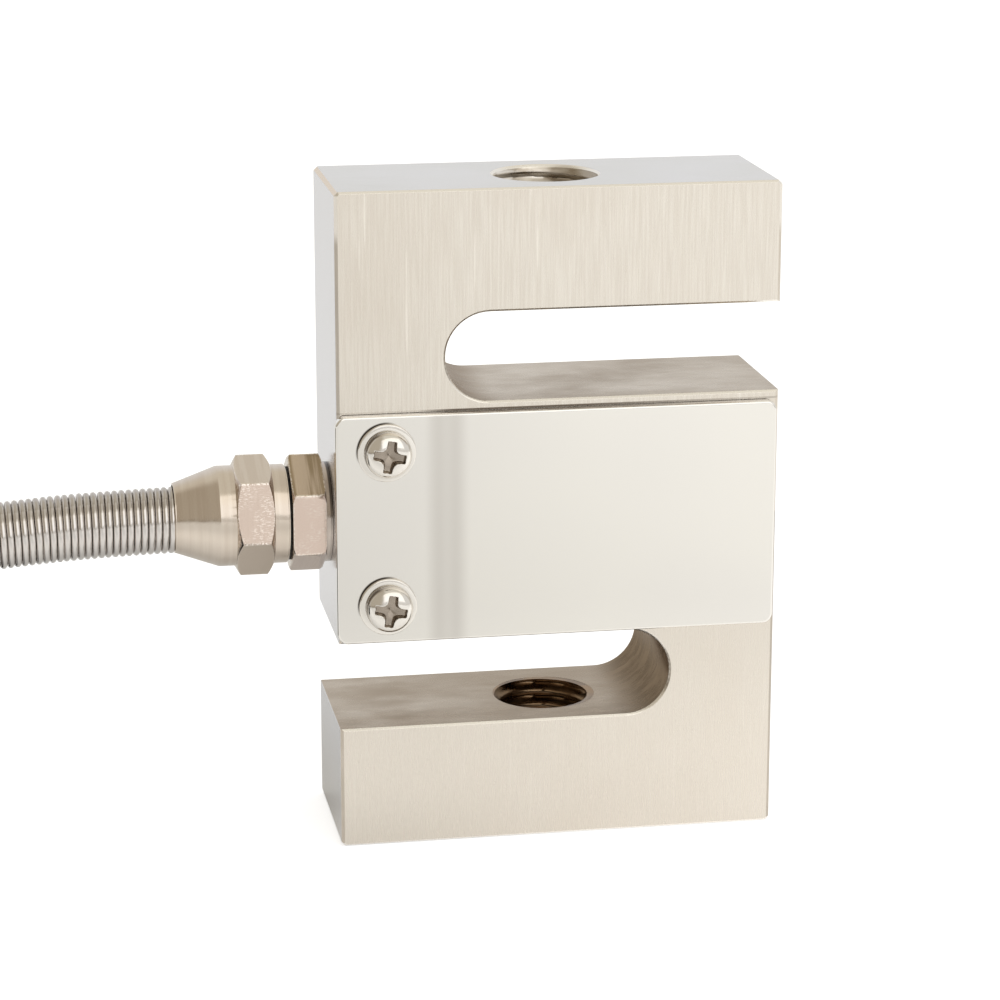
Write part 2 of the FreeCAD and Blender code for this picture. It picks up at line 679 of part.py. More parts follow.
hexagonal(nut, "NutHex", NUT_COLLAR_START, "nut_hex_length", "nut_hex", "nut_turn",
          f"( {NUT_BORE} + {SKIRT} ) / 2",
          [(NUT_HEX_START, "-", "hex_chamfer_inset"), (NUT_COLLAR_START, "+", "hex_chamfer_inset")])

ring("gland_o_ring", (SEAL_START, "0", "gland_height"), TO_LEFT,
     "seal_diameter / 2", NUT_BORE, "seal_thickness")
ring("gland_grommet", (f"{SPIGOT_END} + grommet_length", "0", "gland_height"), TO_LEFT,
     f"{COUNTERBORE} - grommet_clearance", "cable_diameter / 2 + grommet_clearance", "grommet_length")
ring("gland_thrust_washer", (SPIGOT_END, "0", "gland_height"), TO_LEFT,
     f"{NUT_BORE} - thrust_washer_clearance", CABLE_HOLE, "thrust_washer_thickness")


# ---- gauges and bridge board ----------------------------------------------------------------

WINDOW_FLOOR = f"( {WINDOW_HEIGHT} - pocket_height / 2 )"
WINDOW_CEILING = f"( {WINDOW_HEIGHT} + pocket_height / 2 )"
NECK_FLOOR = f"( {WINDOW_HEIGHT} - neck_height / 2 )"
gauge_places = [
    (f"0 - {POCKET_CENTRE}", f"{WINDOW_CEILING} - gauge_thickness"),
    (POCKET_CENTRE, f"{WINDOW_CEILING} - gauge_thickness"),
    (f"0 - {POCKET_CENTRE}", WINDOW_FLOOR),
    (POCKET_CENTRE, WINDOW_FLOOR),
]
for index, (x_text, z_text) in enumerate(gauge_places, start=1):
    primitive("Box", f"strain_gauge_{index}",
              (f"{x_text} - {GAUGE_LENGTH} / 2", "0 - gauge_width / 2", z_text), NO_TURN,
              {"Length": GAUGE_LENGTH, "Width": "gauge_width", "Height": "gauge_thickness"})
primitive("Box", "bridge_board",
          ("0 - board_length / 2", "0 - board_width / 2", NECK_FLOOR), NO_TURN,
          {"Length": "board_length", "Width": "board_width", "Height": "board_thickness"})


# ---- wires and cable ------------------------------------------------------------------------

def rounded_path(points):
    """Straight runs joined by arcs as large as the runs allow, and the arcs' radii."""
    edges = []
    radii = []
    start = points[0]
    for before, corner, after in zip(points, points[1:], points[2:]):
        arriving = (corner - before).normalize()
        leaving = (after - corner).normalize()
        half_turn = arriving.getAngle(leaving) / 2
        reach = 0.45 * min((corner - before).Length, (after - corner).Length)
        radius = reach / math.tan(half_turn)
        inward = (leaving - arriving).normalize()
        first = corner - arriving * reach
        last = corner + leaving * reach
        middle = corner + inward * (radius / math.cos(half_turn) - radius)
        edges.append(Part.LineSegment(start, first).toShape())
        edges.append(Part.Arc(first, middle, last).toShape())
        radii.append(radius)
        start = last
    edges.append(Part.LineSegment(start, points[-1]).toShape())
    return edges, radii


def stretch(edges, begin, end):
    """The part of a path between two distances along it."""
    kept = []
    done = 0.0
    for edge in edges:
        first = max(begin - done, 0.0)
        last = min(end - done, edge.Length)
        if last - first > 1e-6:
            limits = (edge.getParameterByLength(first), edge.getParameterByLength(last))
            kept.append(edge.Curve.toShape(*limits))
        done += edge.Length
    return kept


def tube(edges, radius):
    """A round bar along a path."""
    start = edges[0].valueAt(edges[0].FirstParameter)
    way = edges[0].tangentAt(edges[0].FirstParameter)
    section = Part.Wire([Part.Circle(start, way, radius).toShape()])
    bar = Part.Wire(edges).makePipeShell([section], True, False)
    length = sum(edge.Length for edge in edges)
    if abs(bar.Volume / (math.pi * radius * radius * length) - 1) > 0.002:
        raise RuntimeError("a swept bar has the wrong volume")
    return bar


def free_shape(name, shape):
    feature = doc.addObject("Part::Feature", name)
    feature.Label = name
    feature.Shape = shape
    return feature


cable_radius = number("cable_diameter") / 2
gland_height = number("gland_height")
route = [
    Vector(number(f"{LEFT_FACE} + sheath_entry"), 0, gland_height),
    Vector(number(NUT_TIP) - 4.85, 0, gland_height),
    Vector(number(NUT_TIP) - 24.85, 0, gland_height - 1.43),
    Vector(-112.9, -3.3, 33.3),
    Vector(-129.5, 3.1, 32.2),
    Vector(-140.1, 17.5, 31.2),
    Vector(-142.0, 35.5, 30.4),
    Vector(-133.7, 51.8, 29.6),
    Vector(-117.9, 61.7, 28.6),
    Vector(-99.4, 62.4, 26.2),
    Vector(-83.6, 53.1, 23.6),
    Vector(-75.1, 36.1, 22.6),
]
cable_edges, cable_radii = rounded_path(route)
loose_length = number("loose_cable_length")
print("cable radii", [round(radius, 1) for radius in cable_radii])
print("length up to the coil", round(loose_length, 1))
loose_edges = stretch(cable_edges, 0.0, loose_length)
free_shape("cable", tube(loose_edges, cable_radius))

spring_begin = route[0].x - number(f"{SPRING_START} - spring_end_gap")
spring_edges = stretch(cable_edges, spring_begin, spring_begin + number("spring_length"))
spring_hull = tube(spring_edges, number(SPRING_OUTSIDE))
free_shape("spring_guard", spring_hull.cut(tube(spring_edges, number(SPRING_INSIDE))))

# The rest of the cable is wound into a flat ring: one solid of its outer shape, with the
# stretch that climbs on to it and the end that leaves it at the bottom.
centre = Vector(number("coil_x"), number("coil_y"), 0)
mean = number("coil_mean_radius")
thick = number("cable_diameter")
low = number("tie_thickness")
inner = mean - number("coil_columns") * cable_radius
outer = mean + number("coil_columns") * cable_radius
high = low + number("coil_layers") * thick


def bundle_outline(margin, corner):
    """The section of the coil in the plane through its axis, grown by a margin."""
    left = centre.x + inner - margin
    right = centre.x + outer + margin
    bottom = low - margin
    top = high + margin
    slant = corner * (1 - math.sqrt(0.5))
    y = centre.y
    edges = []
    for arc, line_end in (
        (((right - corner, bottom), (right - slant, bottom + slant), (right, bottom + corner)),
         (right, top - corner)),
        (((right, top - corner), (right - slant, top - slant), (right - corner, top)),
         (left + corner, top)),
        (((left + corner, top), (left + slant, top - slant), (left, top - corner)),
         (left, bottom + corner)),
        (((left, bottom + corner), (left + slant, bottom + slant), (left + corner, bottom)),
         (right - corner, bottom)),
    ):
        first, middle, last = (Vector(x, y, z) for x, z in arc)
        edges.append(Part.Arc(first, middle, last).toShape())
        edges.append(Part.LineSegment(last, Vector(line_end[0], y, line_end[1])).toShape())
    return Part.Wire(edges)


coil = Part.Face(bundle_outline(0.0, cable_radius)).revolve(centre, Vector(0, 0, 1), 360)
climb = stretch(cable_edges, loose_length, sum(edge.Length for edge in cable_edges))
tail_length = number("coil_tail")
leaving = centre + Vector(0.05 + cable_radius - outer, 0.15 * outer, low + cable_radius + 0.05)
tail, tail_radii = rounded_path([
    leaving + Vector(3.0, -0.45 * outer, 2.0),
    leaving,
    leaving + Vector(0.8, tail_length, -0.05),
])
print("radii of the cable's end", [round(radius, 1) for radius in tail_radii])
coil = coil.fuse([tube(climb, cable_radius), tube(tail, cable_radius)]).removeSplitter()
free_shape("cable_coil", coil.Solids[0])

tie_thickness = number("tie_thickness")
tie_outside = Part.Face(bundle_outline(tie_thickness, cable_radius + tie_thickness))
tie_face = tie_outside.cut(Part.Face(bundle_outline(0.0, cable_radius)))
tie_sweep = math.degrees(number("tie_width") / outer)
ties = []
for name in ("tie_angle_one", "tie_angle_two"):
    tie = tie_face.revolve(centre, Vector(0, 0, 1), tie_sweep)
    tie.rotate(centre, Vector(0, 0, 1), number(name) - tie_sweep / 2)
    ties.append(tie)
free_shape("coil_ties", Part.makeCompound(ties))

# Four conductors at each end of the cable.
COLOURS = ("red", "black", "green", "white")
core_radius = number("core_diameter") / 2
half_pitch = number("core_pitch") / 2
quadrants = ((-1, -1), (-1, 1), (1, 1), (1, -1))
board_top = number(f"{NECK_FLOOR} + board_thickness")
board_end = -number("board_length / 2")
for index, (colour, (side, lift)) in enumerate(zip(COLOURS, quadrants)):
    landing = (index - 1.5) * number("board_core_pitch")
    rest = board_top + core_radius
    start = route[0] + Vector(0, side * half_pitch, lift * half_pitch)
    points = [
        start,
        start + Vector(3.2, 0, 0),
        Vector(board_end - 3.4, landing, rest + 0.4),
        Vector(board_end + 1.2, landing, rest),
    ]
    free_shape(f"inner_core_{colour}", tube(rounded_path(points)[0], core_radius))

tip = tail[-1].valueAt(tail[-1].LastParameter)
way = tail[-1].tangentAt(tail[-1].LastParameter)
across = way.cross(Vector(0, 0, 1)).normalize()
lifted = across.cross(way)
end_length = number("core_end_length")
spread = number("core_end_spread")
for index, (colour, (side, lift)) in enumerate(zip(COLOURS, quadrants)):
    start = tip + across * (side * half_pitch) + lifted * (lift * half_pitch)
    out = (-1.5, -0.5, 0.5, 1.5)[index] * spread
    points = [
        start,
        start + way * (0.3 * end_length),
        tip + way * (0.7 * end_length) + across * (out * 0.7) + lifted * (lift * 0.9),
        tip + way * end_length + across * out + lifted * (lift * 1.3 - 0.3),
    ]
    free_shape(f"end_core_{colour}", tube(rounded_path(points)[0], core_radius))

# Two fine leads run from the board to each gauge.
lead_radius = number("lead_diameter") / 2
leads = []
for x_side in (-1, 1):
    for z_side in (-1, 1):
        for lead in (0, 1):
            foot = number("board_width / 2") - 0.4 - lead * number("lead_pitch")
            foot -= 2.2 * number("lead_pitch") * (z_side > 0)
            y_foot = foot * x_side
            near_end = number(f"{POCKET_CENTRE} - {GAUGE_LENGTH} / 2") + 0.5
            y_gauge = (0.4 + (1 - lead) * number("lead_pitch")) * x_side
            level = number(WINDOW_CEILING if z_side > 0 else WINDOW_FLOOR)
            level -= z_side * (number("gauge_thickness") + lead_radius)
            points = [
                Vector(x_side * (number("board_length / 2") - 0.8), y_foot, board_top + lead_radius),
                Vector(x_side * (number(POCKET_NEAR) + 1.0), y_foot, board_top + lead_radius + 0.05),
                Vector(x_side * (near_end + 0.6), y_gauge, level),
            ]
            leads.append(tube(rounded_path(points)[0], lead_radius))
free_shape("gauge_leads", Part.makeCompound(leads))


# ---- check and write ------------------------------------------------------------------------

doc.recompute()
NODES = [
    "s_beam_body", "front_cover_plate", "back_cover_plate", "front_cover_gasket",
    "back_cover_gasket", "cover_screws", "cover_washers", "strain_gauge_1", "strain_gauge_2",
    "strain_gauge_3", "strain_gauge_4", "bridge_board", "gauge_leads", "inner_core_red",
    "inner_core_black", "inner_core_green", "inner_core_white", "gland_body", "gland_nut",
    "gland_o_ring", "gland_grommet", "gland_thrust_washer", "cable", "spring_guard",
    "cable_coil", "coil_ties", "end_core_red", "end_core_black", "end_core_green",
    "end_core_white",
]
for item in doc.Objects:
    if "Invalid" in item.State or "Error" in item.State:
        raise RuntimeError(f"{item.Name} failed: {item.State}")
    if item.isDerivedFrom("PartDesign::Pocket") or item.isDerivedFrom("PartDesign::Groove"):
        if item.Shape.Volume > item.BaseFeature.Shape.Volume - 1e-3:
            raise RuntimeError(f"{item.Name} cuts nothing")
    if item.isDerivedFrom("PartDesign::Pad") or item.isDerivedFrom("PartDesign::Revolution"):
        if item.BaseFeature and item.Shape.Volume < item.BaseFeature.Shape.Volume + 1e-3:
            raise RuntimeError(f"{item.Name} adds nothing")

os.makedirs("parts", exist_ok=True)
for name in NODES:
    item = doc.getObject(name)
    shape = item.Shape
    if shape.isNull() or not shape.isValid():
        raise RuntimeError(f"{name} has no valid shape")
    shape.exportStep(f"parts/{name}.step")
    print(f"{name:22s} {len(shape.Solids)} solids {len(shape.Faces):4d} faces {shape.Volume:10.2f} mm3")
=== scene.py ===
"""S type load cell: a nickel plated steel S beam with polished covers and a sprung cable gland.

Metres, +Z up, the block stands on Z = 0; the cable leaves towards -X, the front is -Y.
"""
import math

import bpy
from mathutils import Matrix, Vector


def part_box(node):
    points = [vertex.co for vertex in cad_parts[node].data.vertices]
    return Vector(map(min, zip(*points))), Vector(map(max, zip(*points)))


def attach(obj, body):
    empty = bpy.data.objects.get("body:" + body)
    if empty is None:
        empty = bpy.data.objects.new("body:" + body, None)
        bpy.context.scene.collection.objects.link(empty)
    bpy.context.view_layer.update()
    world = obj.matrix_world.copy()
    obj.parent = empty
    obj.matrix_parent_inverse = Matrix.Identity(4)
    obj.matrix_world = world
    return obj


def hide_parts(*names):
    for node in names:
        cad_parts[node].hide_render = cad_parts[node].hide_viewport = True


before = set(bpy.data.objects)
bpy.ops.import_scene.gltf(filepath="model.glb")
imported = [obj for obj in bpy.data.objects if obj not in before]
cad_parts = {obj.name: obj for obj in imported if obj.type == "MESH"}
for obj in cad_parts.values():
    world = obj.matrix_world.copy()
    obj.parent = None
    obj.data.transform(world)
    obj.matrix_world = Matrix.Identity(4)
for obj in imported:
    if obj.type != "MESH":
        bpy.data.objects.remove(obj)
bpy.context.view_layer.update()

MM = 0.001


# ---- camera ---------------------------------------------------------------------------------

CAMERA_PLACE = Vector((-0.0683, -0.3582, 0.1344))
CAMERA_FORWARD = Vector((0.1677, 0.9519, -0.2562))
CAMERA_UP = Vector((0.0441, 0.2524, 0.9666))
CAMERA_LENS = 116.48
CAMERA_SENSOR = 36.0


def make_camera():
    """The photograph's camera, fitted to the block's corners and its two holes."""
    data = bpy.data.cameras.new("camera")
    data.lens = CAMERA_LENS
    data.sensor_width = CAMERA_SENSOR
    data.clip_start = 0.01
    data.clip_end = 100.0
    camera = bpy.data.objects.new("camera", data)
    bpy.context.collection.objects.link(camera)
    back = -CAMERA_FORWARD.normalized()
    right = CAMERA_UP.cross(back).normalized()
    up = back.cross(right)
    turn = Matrix((right, up, back)).transposed()
    camera.matrix_world = Matrix.Translation(CAMERA_PLACE) @ turn.to_4x4()
    bpy.context.scene.camera = camera


make_camera()


# ---- node helpers ---------------------------------------------------------------------------

SOCKETS = {
    "color": "Base Color", "metallic": "Metallic", "roughness": "Roughness", "normal": "Normal",
    "specular": "Specular IOR Level", "edge_tint": "Specular Tint",
}
# A Mix node keeps its sockets for every data type; these are the ones for colours.
MIX_FACTOR, MIX_FIRST, MIX_SECOND, MIX_RESULT = 0, 6, 7, 2


class Nodes:
    """Adds nodes to a material's or the world's tree with short calls."""

    def __init__(self, tree):
        self.tree = tree

    def add(self, kind, **settings):
        node = self.tree.nodes.new(kind)
        for key, value in settings.items():
            setattr(node, key, value)
        return node

    def link(self, source, target):
        """Joins a socket to a socket, or sets a number or colour on the target itself."""
        if hasattr(source, "links"):
            self.tree.links.new(source, target)
        elif target.type == "RGBA" and len(source) == 3:
            target.default_value = (*source, 1.0)
        else:
            target.default_value = source

    def math(self, operation, first, second=0.0):
        node = self.add("ShaderNodeMath", operation=operation)
        self.link(first, node.inputs[0])
        self.link(second, node.inputs[1])
        return node.outputs[0]

    def plus(self, first, second):
        return self.math("ADD", first, second)

    def minus(self, first, second):
        return self.math("SUBTRACT", first, second)

    def absolute(self, value):
        return self.math("ABSOLUTE", value)

    def either(self, first, second):
        """The larger of two shares: where one or the other holds."""
        return self.math("MAXIMUM", first, second)

    def both(self, first, second):
        """The product of two shares: where both hold."""
        return self.math("MULTIPLY", first, second)

    def range(self, value, low, high, out_low=0.0, out_high=1.0):
        """A smooth step from out_low at low to out_high at high."""
        node = self.add("ShaderNodeMapRange", interpolation_type="SMOOTHSTEP", clamp=True)
        for socket, item in zip(node.inputs, (value, low, high, out_low, out_high)):
            self.link(item, socket)
        return node.outputs[0]

    def fade(self, value, low, high, full=1.0):
        """A smooth step from full at low to nothing at high."""
        return self.range(value, low, high, full, 0.0)

    def mix(self, factor, first, second):
        """The first colour where the factor is 0, the second where it is 1."""
        node = self.add("ShaderNodeMix", data_type="RGBA")
        self.link(factor, node.inputs[MIX_FACTOR])
        self.link(first, node.inputs[MIX_FIRST])
        self.link(second, node.inputs[MIX_SECOND])
        return node.outputs[MIX_RESULT]

    def split(self, vector):
        node = self.add("ShaderNodeSeparateXYZ")
        self.link(vector, node.inputs[0])
        return node.outputs

    def bump(self, height, distance, strength):
        node = self.add("ShaderNodeBump")
        node.inputs["Strength"].default_value = strength
        node.inputs["Distance"].default_value = distance
        self.link(height, node.inputs["Height"])
        return node.outputs[0]


class Surface(Nodes):
    """One material with a Principled shader."""

    def __init__(self, name):
        self.material = bpy.data.materials.new(name)
        self.material.use_nodes = True
        super().__init__(self.material.node_tree)
        self.shader = self.tree.nodes["Principled BSDF"]
        self.place = self.add("ShaderNodeTexCoord").outputs["Object"]
        self.facing = self.add("ShaderNodeNewGeometry").outputs["True Normal"]

    def noise(self, scale, detail=2.0, roughness=0.5):
        """Noise over the object, with one scale or one along each axis."""
        stretch = self.add("ShaderNodeMapping")
        self.link(self.place, stretch.inputs["Vector"])
        along_axes = scale if isinstance(scale, tuple) else (scale,) * 3
        stretch.inputs["Scale"].default_value = along_axes
        node = self.add("ShaderNodeTexNoise")
        self.link(stretch.outputs[0], node.inputs["Vector"])
        node.inputs["Scale"].default_value = 1.0
        node.inputs["Detail"].default_value = detail
        node.inputs["Roughness"].default_value = roughness
        return node.outputs["Fac"]

    def set(self, **values):
        """Sets or links the shader's sockets and returns the finished material."""
        for key, value in values.items():
            self.link(value, self.shader.inputs[SOCKETS[key]])
        return self.material


# ---- the block's material -------------------------------------------------------------------

WHITE = (1.0, 1.0, 1.0)
NICKEL = (0.74, 0.685, 0.61)
NICKEL_PALE = (0.80, 0.75, 0.675)
NICKEL_WORN = (0.70, 0.63, 0.545)
NICKEL_SCRATCH = (0.92, 0.87, 0.79)
GROUND_STEEL = (0.745, 0.735, 0.745)
GROUND_WORN = (0.69, 0.68, 0.66)
GROUND_LEFT_REFLECTION = (0.78, 0.775, 0.82)
GROUND_FOOT_SHADE = (0.61, 0.575, 0.515)
MILLED = (0.36, 0.28, 0.195)
MILLED_PALE = (0.62, 0.545, 0.455)
SLOT_END_SHADE = (0.21, 0.155, 0.10)
SLOT_END_DEEP_SHADE = (0.10, 0.07, 0.042)
SLOT_END_SHADE_TINT = (0.87, 0.78, 0.69)
BURNISH_AND_HIGHLIGHT = (0.93, 0.89, 0.83)
PLATE_TOP_PAINTED_SHADOW = (0.10, 0.075, 0.055)

PLATE_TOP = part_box("front_cover_plate")[1][2]
# Soft steps, from and to: the lower slot ends and the upper one begins; a slot's floor turns
# into its round end; the upper hole's bore turns into its mouth.
SLOT_SPLIT = (37.5 * MM, 38.0 * MM)
SLOT_ROUND = (6.0 * MM, 12.0 * MM)
HOLE_MOUTH = (70.0 * MM, 72.0 * MM)


def brushed_faces(n, x, z, cloud):
    """Upright streaks, a few scratches, and a painted shadow line above each plate."""
    streaks = n.noise((4200.0, 4200.0, 130.0), detail=3.0)
    scratches = n.noise((1700.0, 1700.0, 60.0), detail=1.0)
    upper = n.range(z, 22.0 * MM, 48.0 * MM, 0.15, 1.0)
    color = n.mix(n.both(n.range(streaks, 0.35, 0.68), upper), NICKEL, NICKEL_PALE)
    color = n.mix(n.range(cloud, 0.45, 0.75, 0.0, 0.35), color, NICKEL_WORN)
    scratched = n.both(n.range(scratches, 0.70, 0.76), n.both(upper, 0.6))
    color = n.mix(scratched, color, NICKEL_SCRATCH)
    # Painted shadow: a thin dark line just above each plate's top edge, strongest between X = -12
    # and 0 mm.
    line = n.both(n.range(z, PLATE_TOP, PLATE_TOP + 0.1 * MM),
                  n.fade(z, PLATE_TOP + 0.2 * MM, PLATE_TOP + 0.34 * MM))
    share = n.both(n.range(x, -17.0 * MM, -12.0 * MM, 0.3, 0.97),
                   n.range(x, 0.0, 26.0 * MM, 1.0, 0.35))
    return n.mix(n.both(line, share), color, PLATE_TOP_PAINTED_SHADOW)


def milled_slots(n, z, inward, turning, swirls):
    """Mottled floors, and round ends darkened by painted shade over their milling swirls; burnish
    and painted highlight where the upper hole meets the top.
    """
    patches = n.noise((70.0, 110.0, 110.0), detail=3.0)
    color = n.mix(n.range(patches, 0.36, 0.72), MILLED, MILLED_PALE)
    outer_end = n.both(n.range(z, *SLOT_SPLIT), n.fade(inward, -22.0 * MM, -10.0 * MM, 0.4))
    color = n.mix(outer_end, color, MILLED_PALE)
    lower_floor = n.both(n.fade(z, *SLOT_SPLIT), n.range(inward, -18.0 * MM, -10.0 * MM, 0.0, 0.5))
    color = n.mix(lower_floor, color, MILLED)
    # Painted shade: the round ends take two dark tones, mixed in the swirls of the milling marks.
    color = n.mix(turning, color, n.mix(n.range(swirls, 0.35, 0.7), SLOT_END_DEEP_SHADE, SLOT_END_SHADE))
    return n.mix(n.range(z, *HOLE_MOUTH), color, BURNISH_AND_HIGHLIGHT)


def ground_ends(n, nx, z, cloud):
    """Smooth ends, with a painted cool reflection on the cable's side and painted shade towards the
    foot.
    """
    color = n.mix(n.range(cloud, 0.35, 0.7), GROUND_STEEL, GROUND_WORN)
    # Painted reflection: a cooler tone on the face towards -X.
    color = n.mix(n.fade(nx, -0.8, -0.5, 0.8), color, GROUND_LEFT_REFLECTION)
    # Painted shade: the ends darken towards the floor.
    return n.mix(n.fade(z, 0.0, 16.0 * MM, 0.8), color, GROUND_FOOT_SHADE)


def body_material():
    """Nickel plated steel: brushed broad faces, ground ends, milled slots, and bright edges that
    are partly burnish and partly painted highlight.
    """
    low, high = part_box("s_beam_body")
    n = Surface("nickel_plated_steel")
    x, _, z = n.split(n.place)
    nx, ny, nz = n.split(n.facing)
    margin = 0.05 * MM
    broad = n.range(n.absolute(ny), 0.6, 0.8)
    outside = n.either(n.math("GREATER_THAN", n.absolute(x), high[0] - margin),
                       n.either(n.math("GREATER_THAN", z, high[2] - margin),
                                n.math("LESS_THAN", z, low[2] + margin)))
    slot = n.both(n.minus(1.0, broad), n.minus(1.0, outside))
    # How far a place lies from the middle towards the closed end of its own slot.
    inward = n.both(x, n.range(z, *SLOT_SPLIT, 1.0, -1.0))
    turning = n.range(inward, *SLOT_ROUND)

    cloud = n.noise(45.0, detail=3.0)
    hairs = n.noise((11000.0, 11000.0, 240.0))
    lines = n.noise((220.0, 5200.0, 5200.0))
    swirls = n.noise((260.0, 700.0, 260.0), detail=5.0, roughness=0.65)
    plated = n.mix(outside, brushed_faces(n, x, z, cloud), ground_ends(n, nx, z, cloud))
    color = n.mix(slot, plated, milled_slots(n, z, inward, turning, swirls))
    # Edges brightened: partly burnish, partly painted highlight on the chamfers.
    edges = n.both(n.range(n.absolute(ny), 0.25, 0.45), n.range(n.absolute(nz), 0.25, 0.45))
    color = n.mix(edges, color, BURNISH_AND_HIGHLIGHT)

    grain = n.mix(slot, n.mix(outside, hairs, lines), swirls)
    rough = n.mix(outside, n.range(grain, 0.25, 0.75, 0.23, 0.33),
                  n.range(lines, 0.3, 0.7, 0.13, 0.2))
    # Painted shade: the round ends' reflections are tinted darker.
    tint = n.mix(n.both(slot, turning), WHITE, SLOT_END_SHADE_TINT)
    return n.set(color=color, metallic=1.0, roughness=rough, edge_tint=tint,
                 normal=n.bump(grain, 0.004 * MM, 0.35))


# ---- the cover plates' material -------------------------------------------------------------

PLATE = (0.835, 0.81, 0.76)
PLATE_WORN = (0.81, 0.785, 0.745)
PLATE_PAINTED_REFLECTION = (0.64, 0.61, 0.57)
PLATE_TOP_HIGHLIGHT = (0.96, 0.945, 0.92)
WASHER_PAINTED_SHADOW = (0.07, 0.055, 0.045)
REFLECTION_MIDDLES = (-14.05 * MM, -12.2 * MM)
REFLECTION_WIDTH = 1.9 * MM

# The washers sit a little loose on their screws, and the plates' painted shadow crescents follow
# them.
WASHER_RADIUS = 3.3 * MM
CAD_WASHER_RADIUS = 3.5 * MM
WASHER_SHIFT = Vector((-0.1, 0.1, 0.0)) * MM
washer_low, washer_high = (Vector(corner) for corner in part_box("cover_washers"))
SCREW_X = (washer_low.x + washer_high.x) / 2
SCREW_HEIGHTS = (washer_low.z + CAD_WASHER_RADIUS, washer_high.z - CAD_WASHER_RADIUS)


def plate_material():
    """Polished steel with two soft streaks of painted reflection, a painted highlight on upward
    faces, and a painted shadow crescent at the upper left of each washer.
    """
    n = Surface("polished_stainless")
    fine = n.noise((5200.0, 5200.0, 260.0))
    wave = n.noise(38.0, detail=1.0)
    x, _, z = n.split(n.place)
    color = n.mix(n.range(wave, 0.35, 0.65), PLATE, PLATE_WORN)
    # Painted reflection: two soft darker streaks across each plate.
    for middle in REFLECTION_MIDDLES:
        away = n.absolute(n.minus(x, middle))
        color = n.mix(n.fade(away, 0.0, REFLECTION_WIDTH, 0.75), color, PLATE_PAINTED_REFLECTION)
    # Painted highlight on faces that look up, such as the plate's top edge.
    color = n.mix(n.range(n.split(n.facing)[2], 0.3, 0.7), color, PLATE_TOP_HIGHLIGHT)
    # Painted shadow: a dark crescent at the upper left of each washer.
    for height in SCREW_HEIGHTS:
        across = n.minus(x, SCREW_X + WASHER_SHIFT.x)
        above = n.minus(z, height + WASHER_SHIFT.y)
        reach = n.math("SQRT", n.plus(n.both(across, across), n.both(above, above)))
        close = n.fade(reach, WASHER_RADIUS + 0.05 * MM, WASHER_RADIUS + 0.22 * MM)
        upper_left = n.range(n.minus(above, across), 1.8 * MM, 4.0 * MM, 0.0, 0.95)
        color = n.mix(n.both(close, upper_left), color, WASHER_PAINTED_SHADOW)
    return n.set(color=color, metallic=1.0, roughness=n.range(fine, 0.3, 0.7, 0.08, 0.12),
                 normal=n.bump(wave, 0.03 * MM, 0.2))


# ---- the gland's materials ------------------------------------------------------------------

GLAND_HEIGHT = 37.6 * MM
GLAND_JOINT = (-25.80 * MM, -25.62 * MM)
GLAND_JOINT_SHADE = (0.06, 0.05, 0.04)
BRASS_PLATING = ((0.655, 0.57, 0.485), (0.70, 0.62, 0.535))
BRASS_TOP_SHADE = ((0.36, 0.275, 0.175), (0.60, 0.49, 0.37))
BRASS_CHIPS_AND_GLINT = (0.93, 0.86, 0.78)
# How far the front flat's normal leans up, and how many flats a hexagon has.
FRONT_TILT = 0.13
HEXAGON_SIDES = 6.0


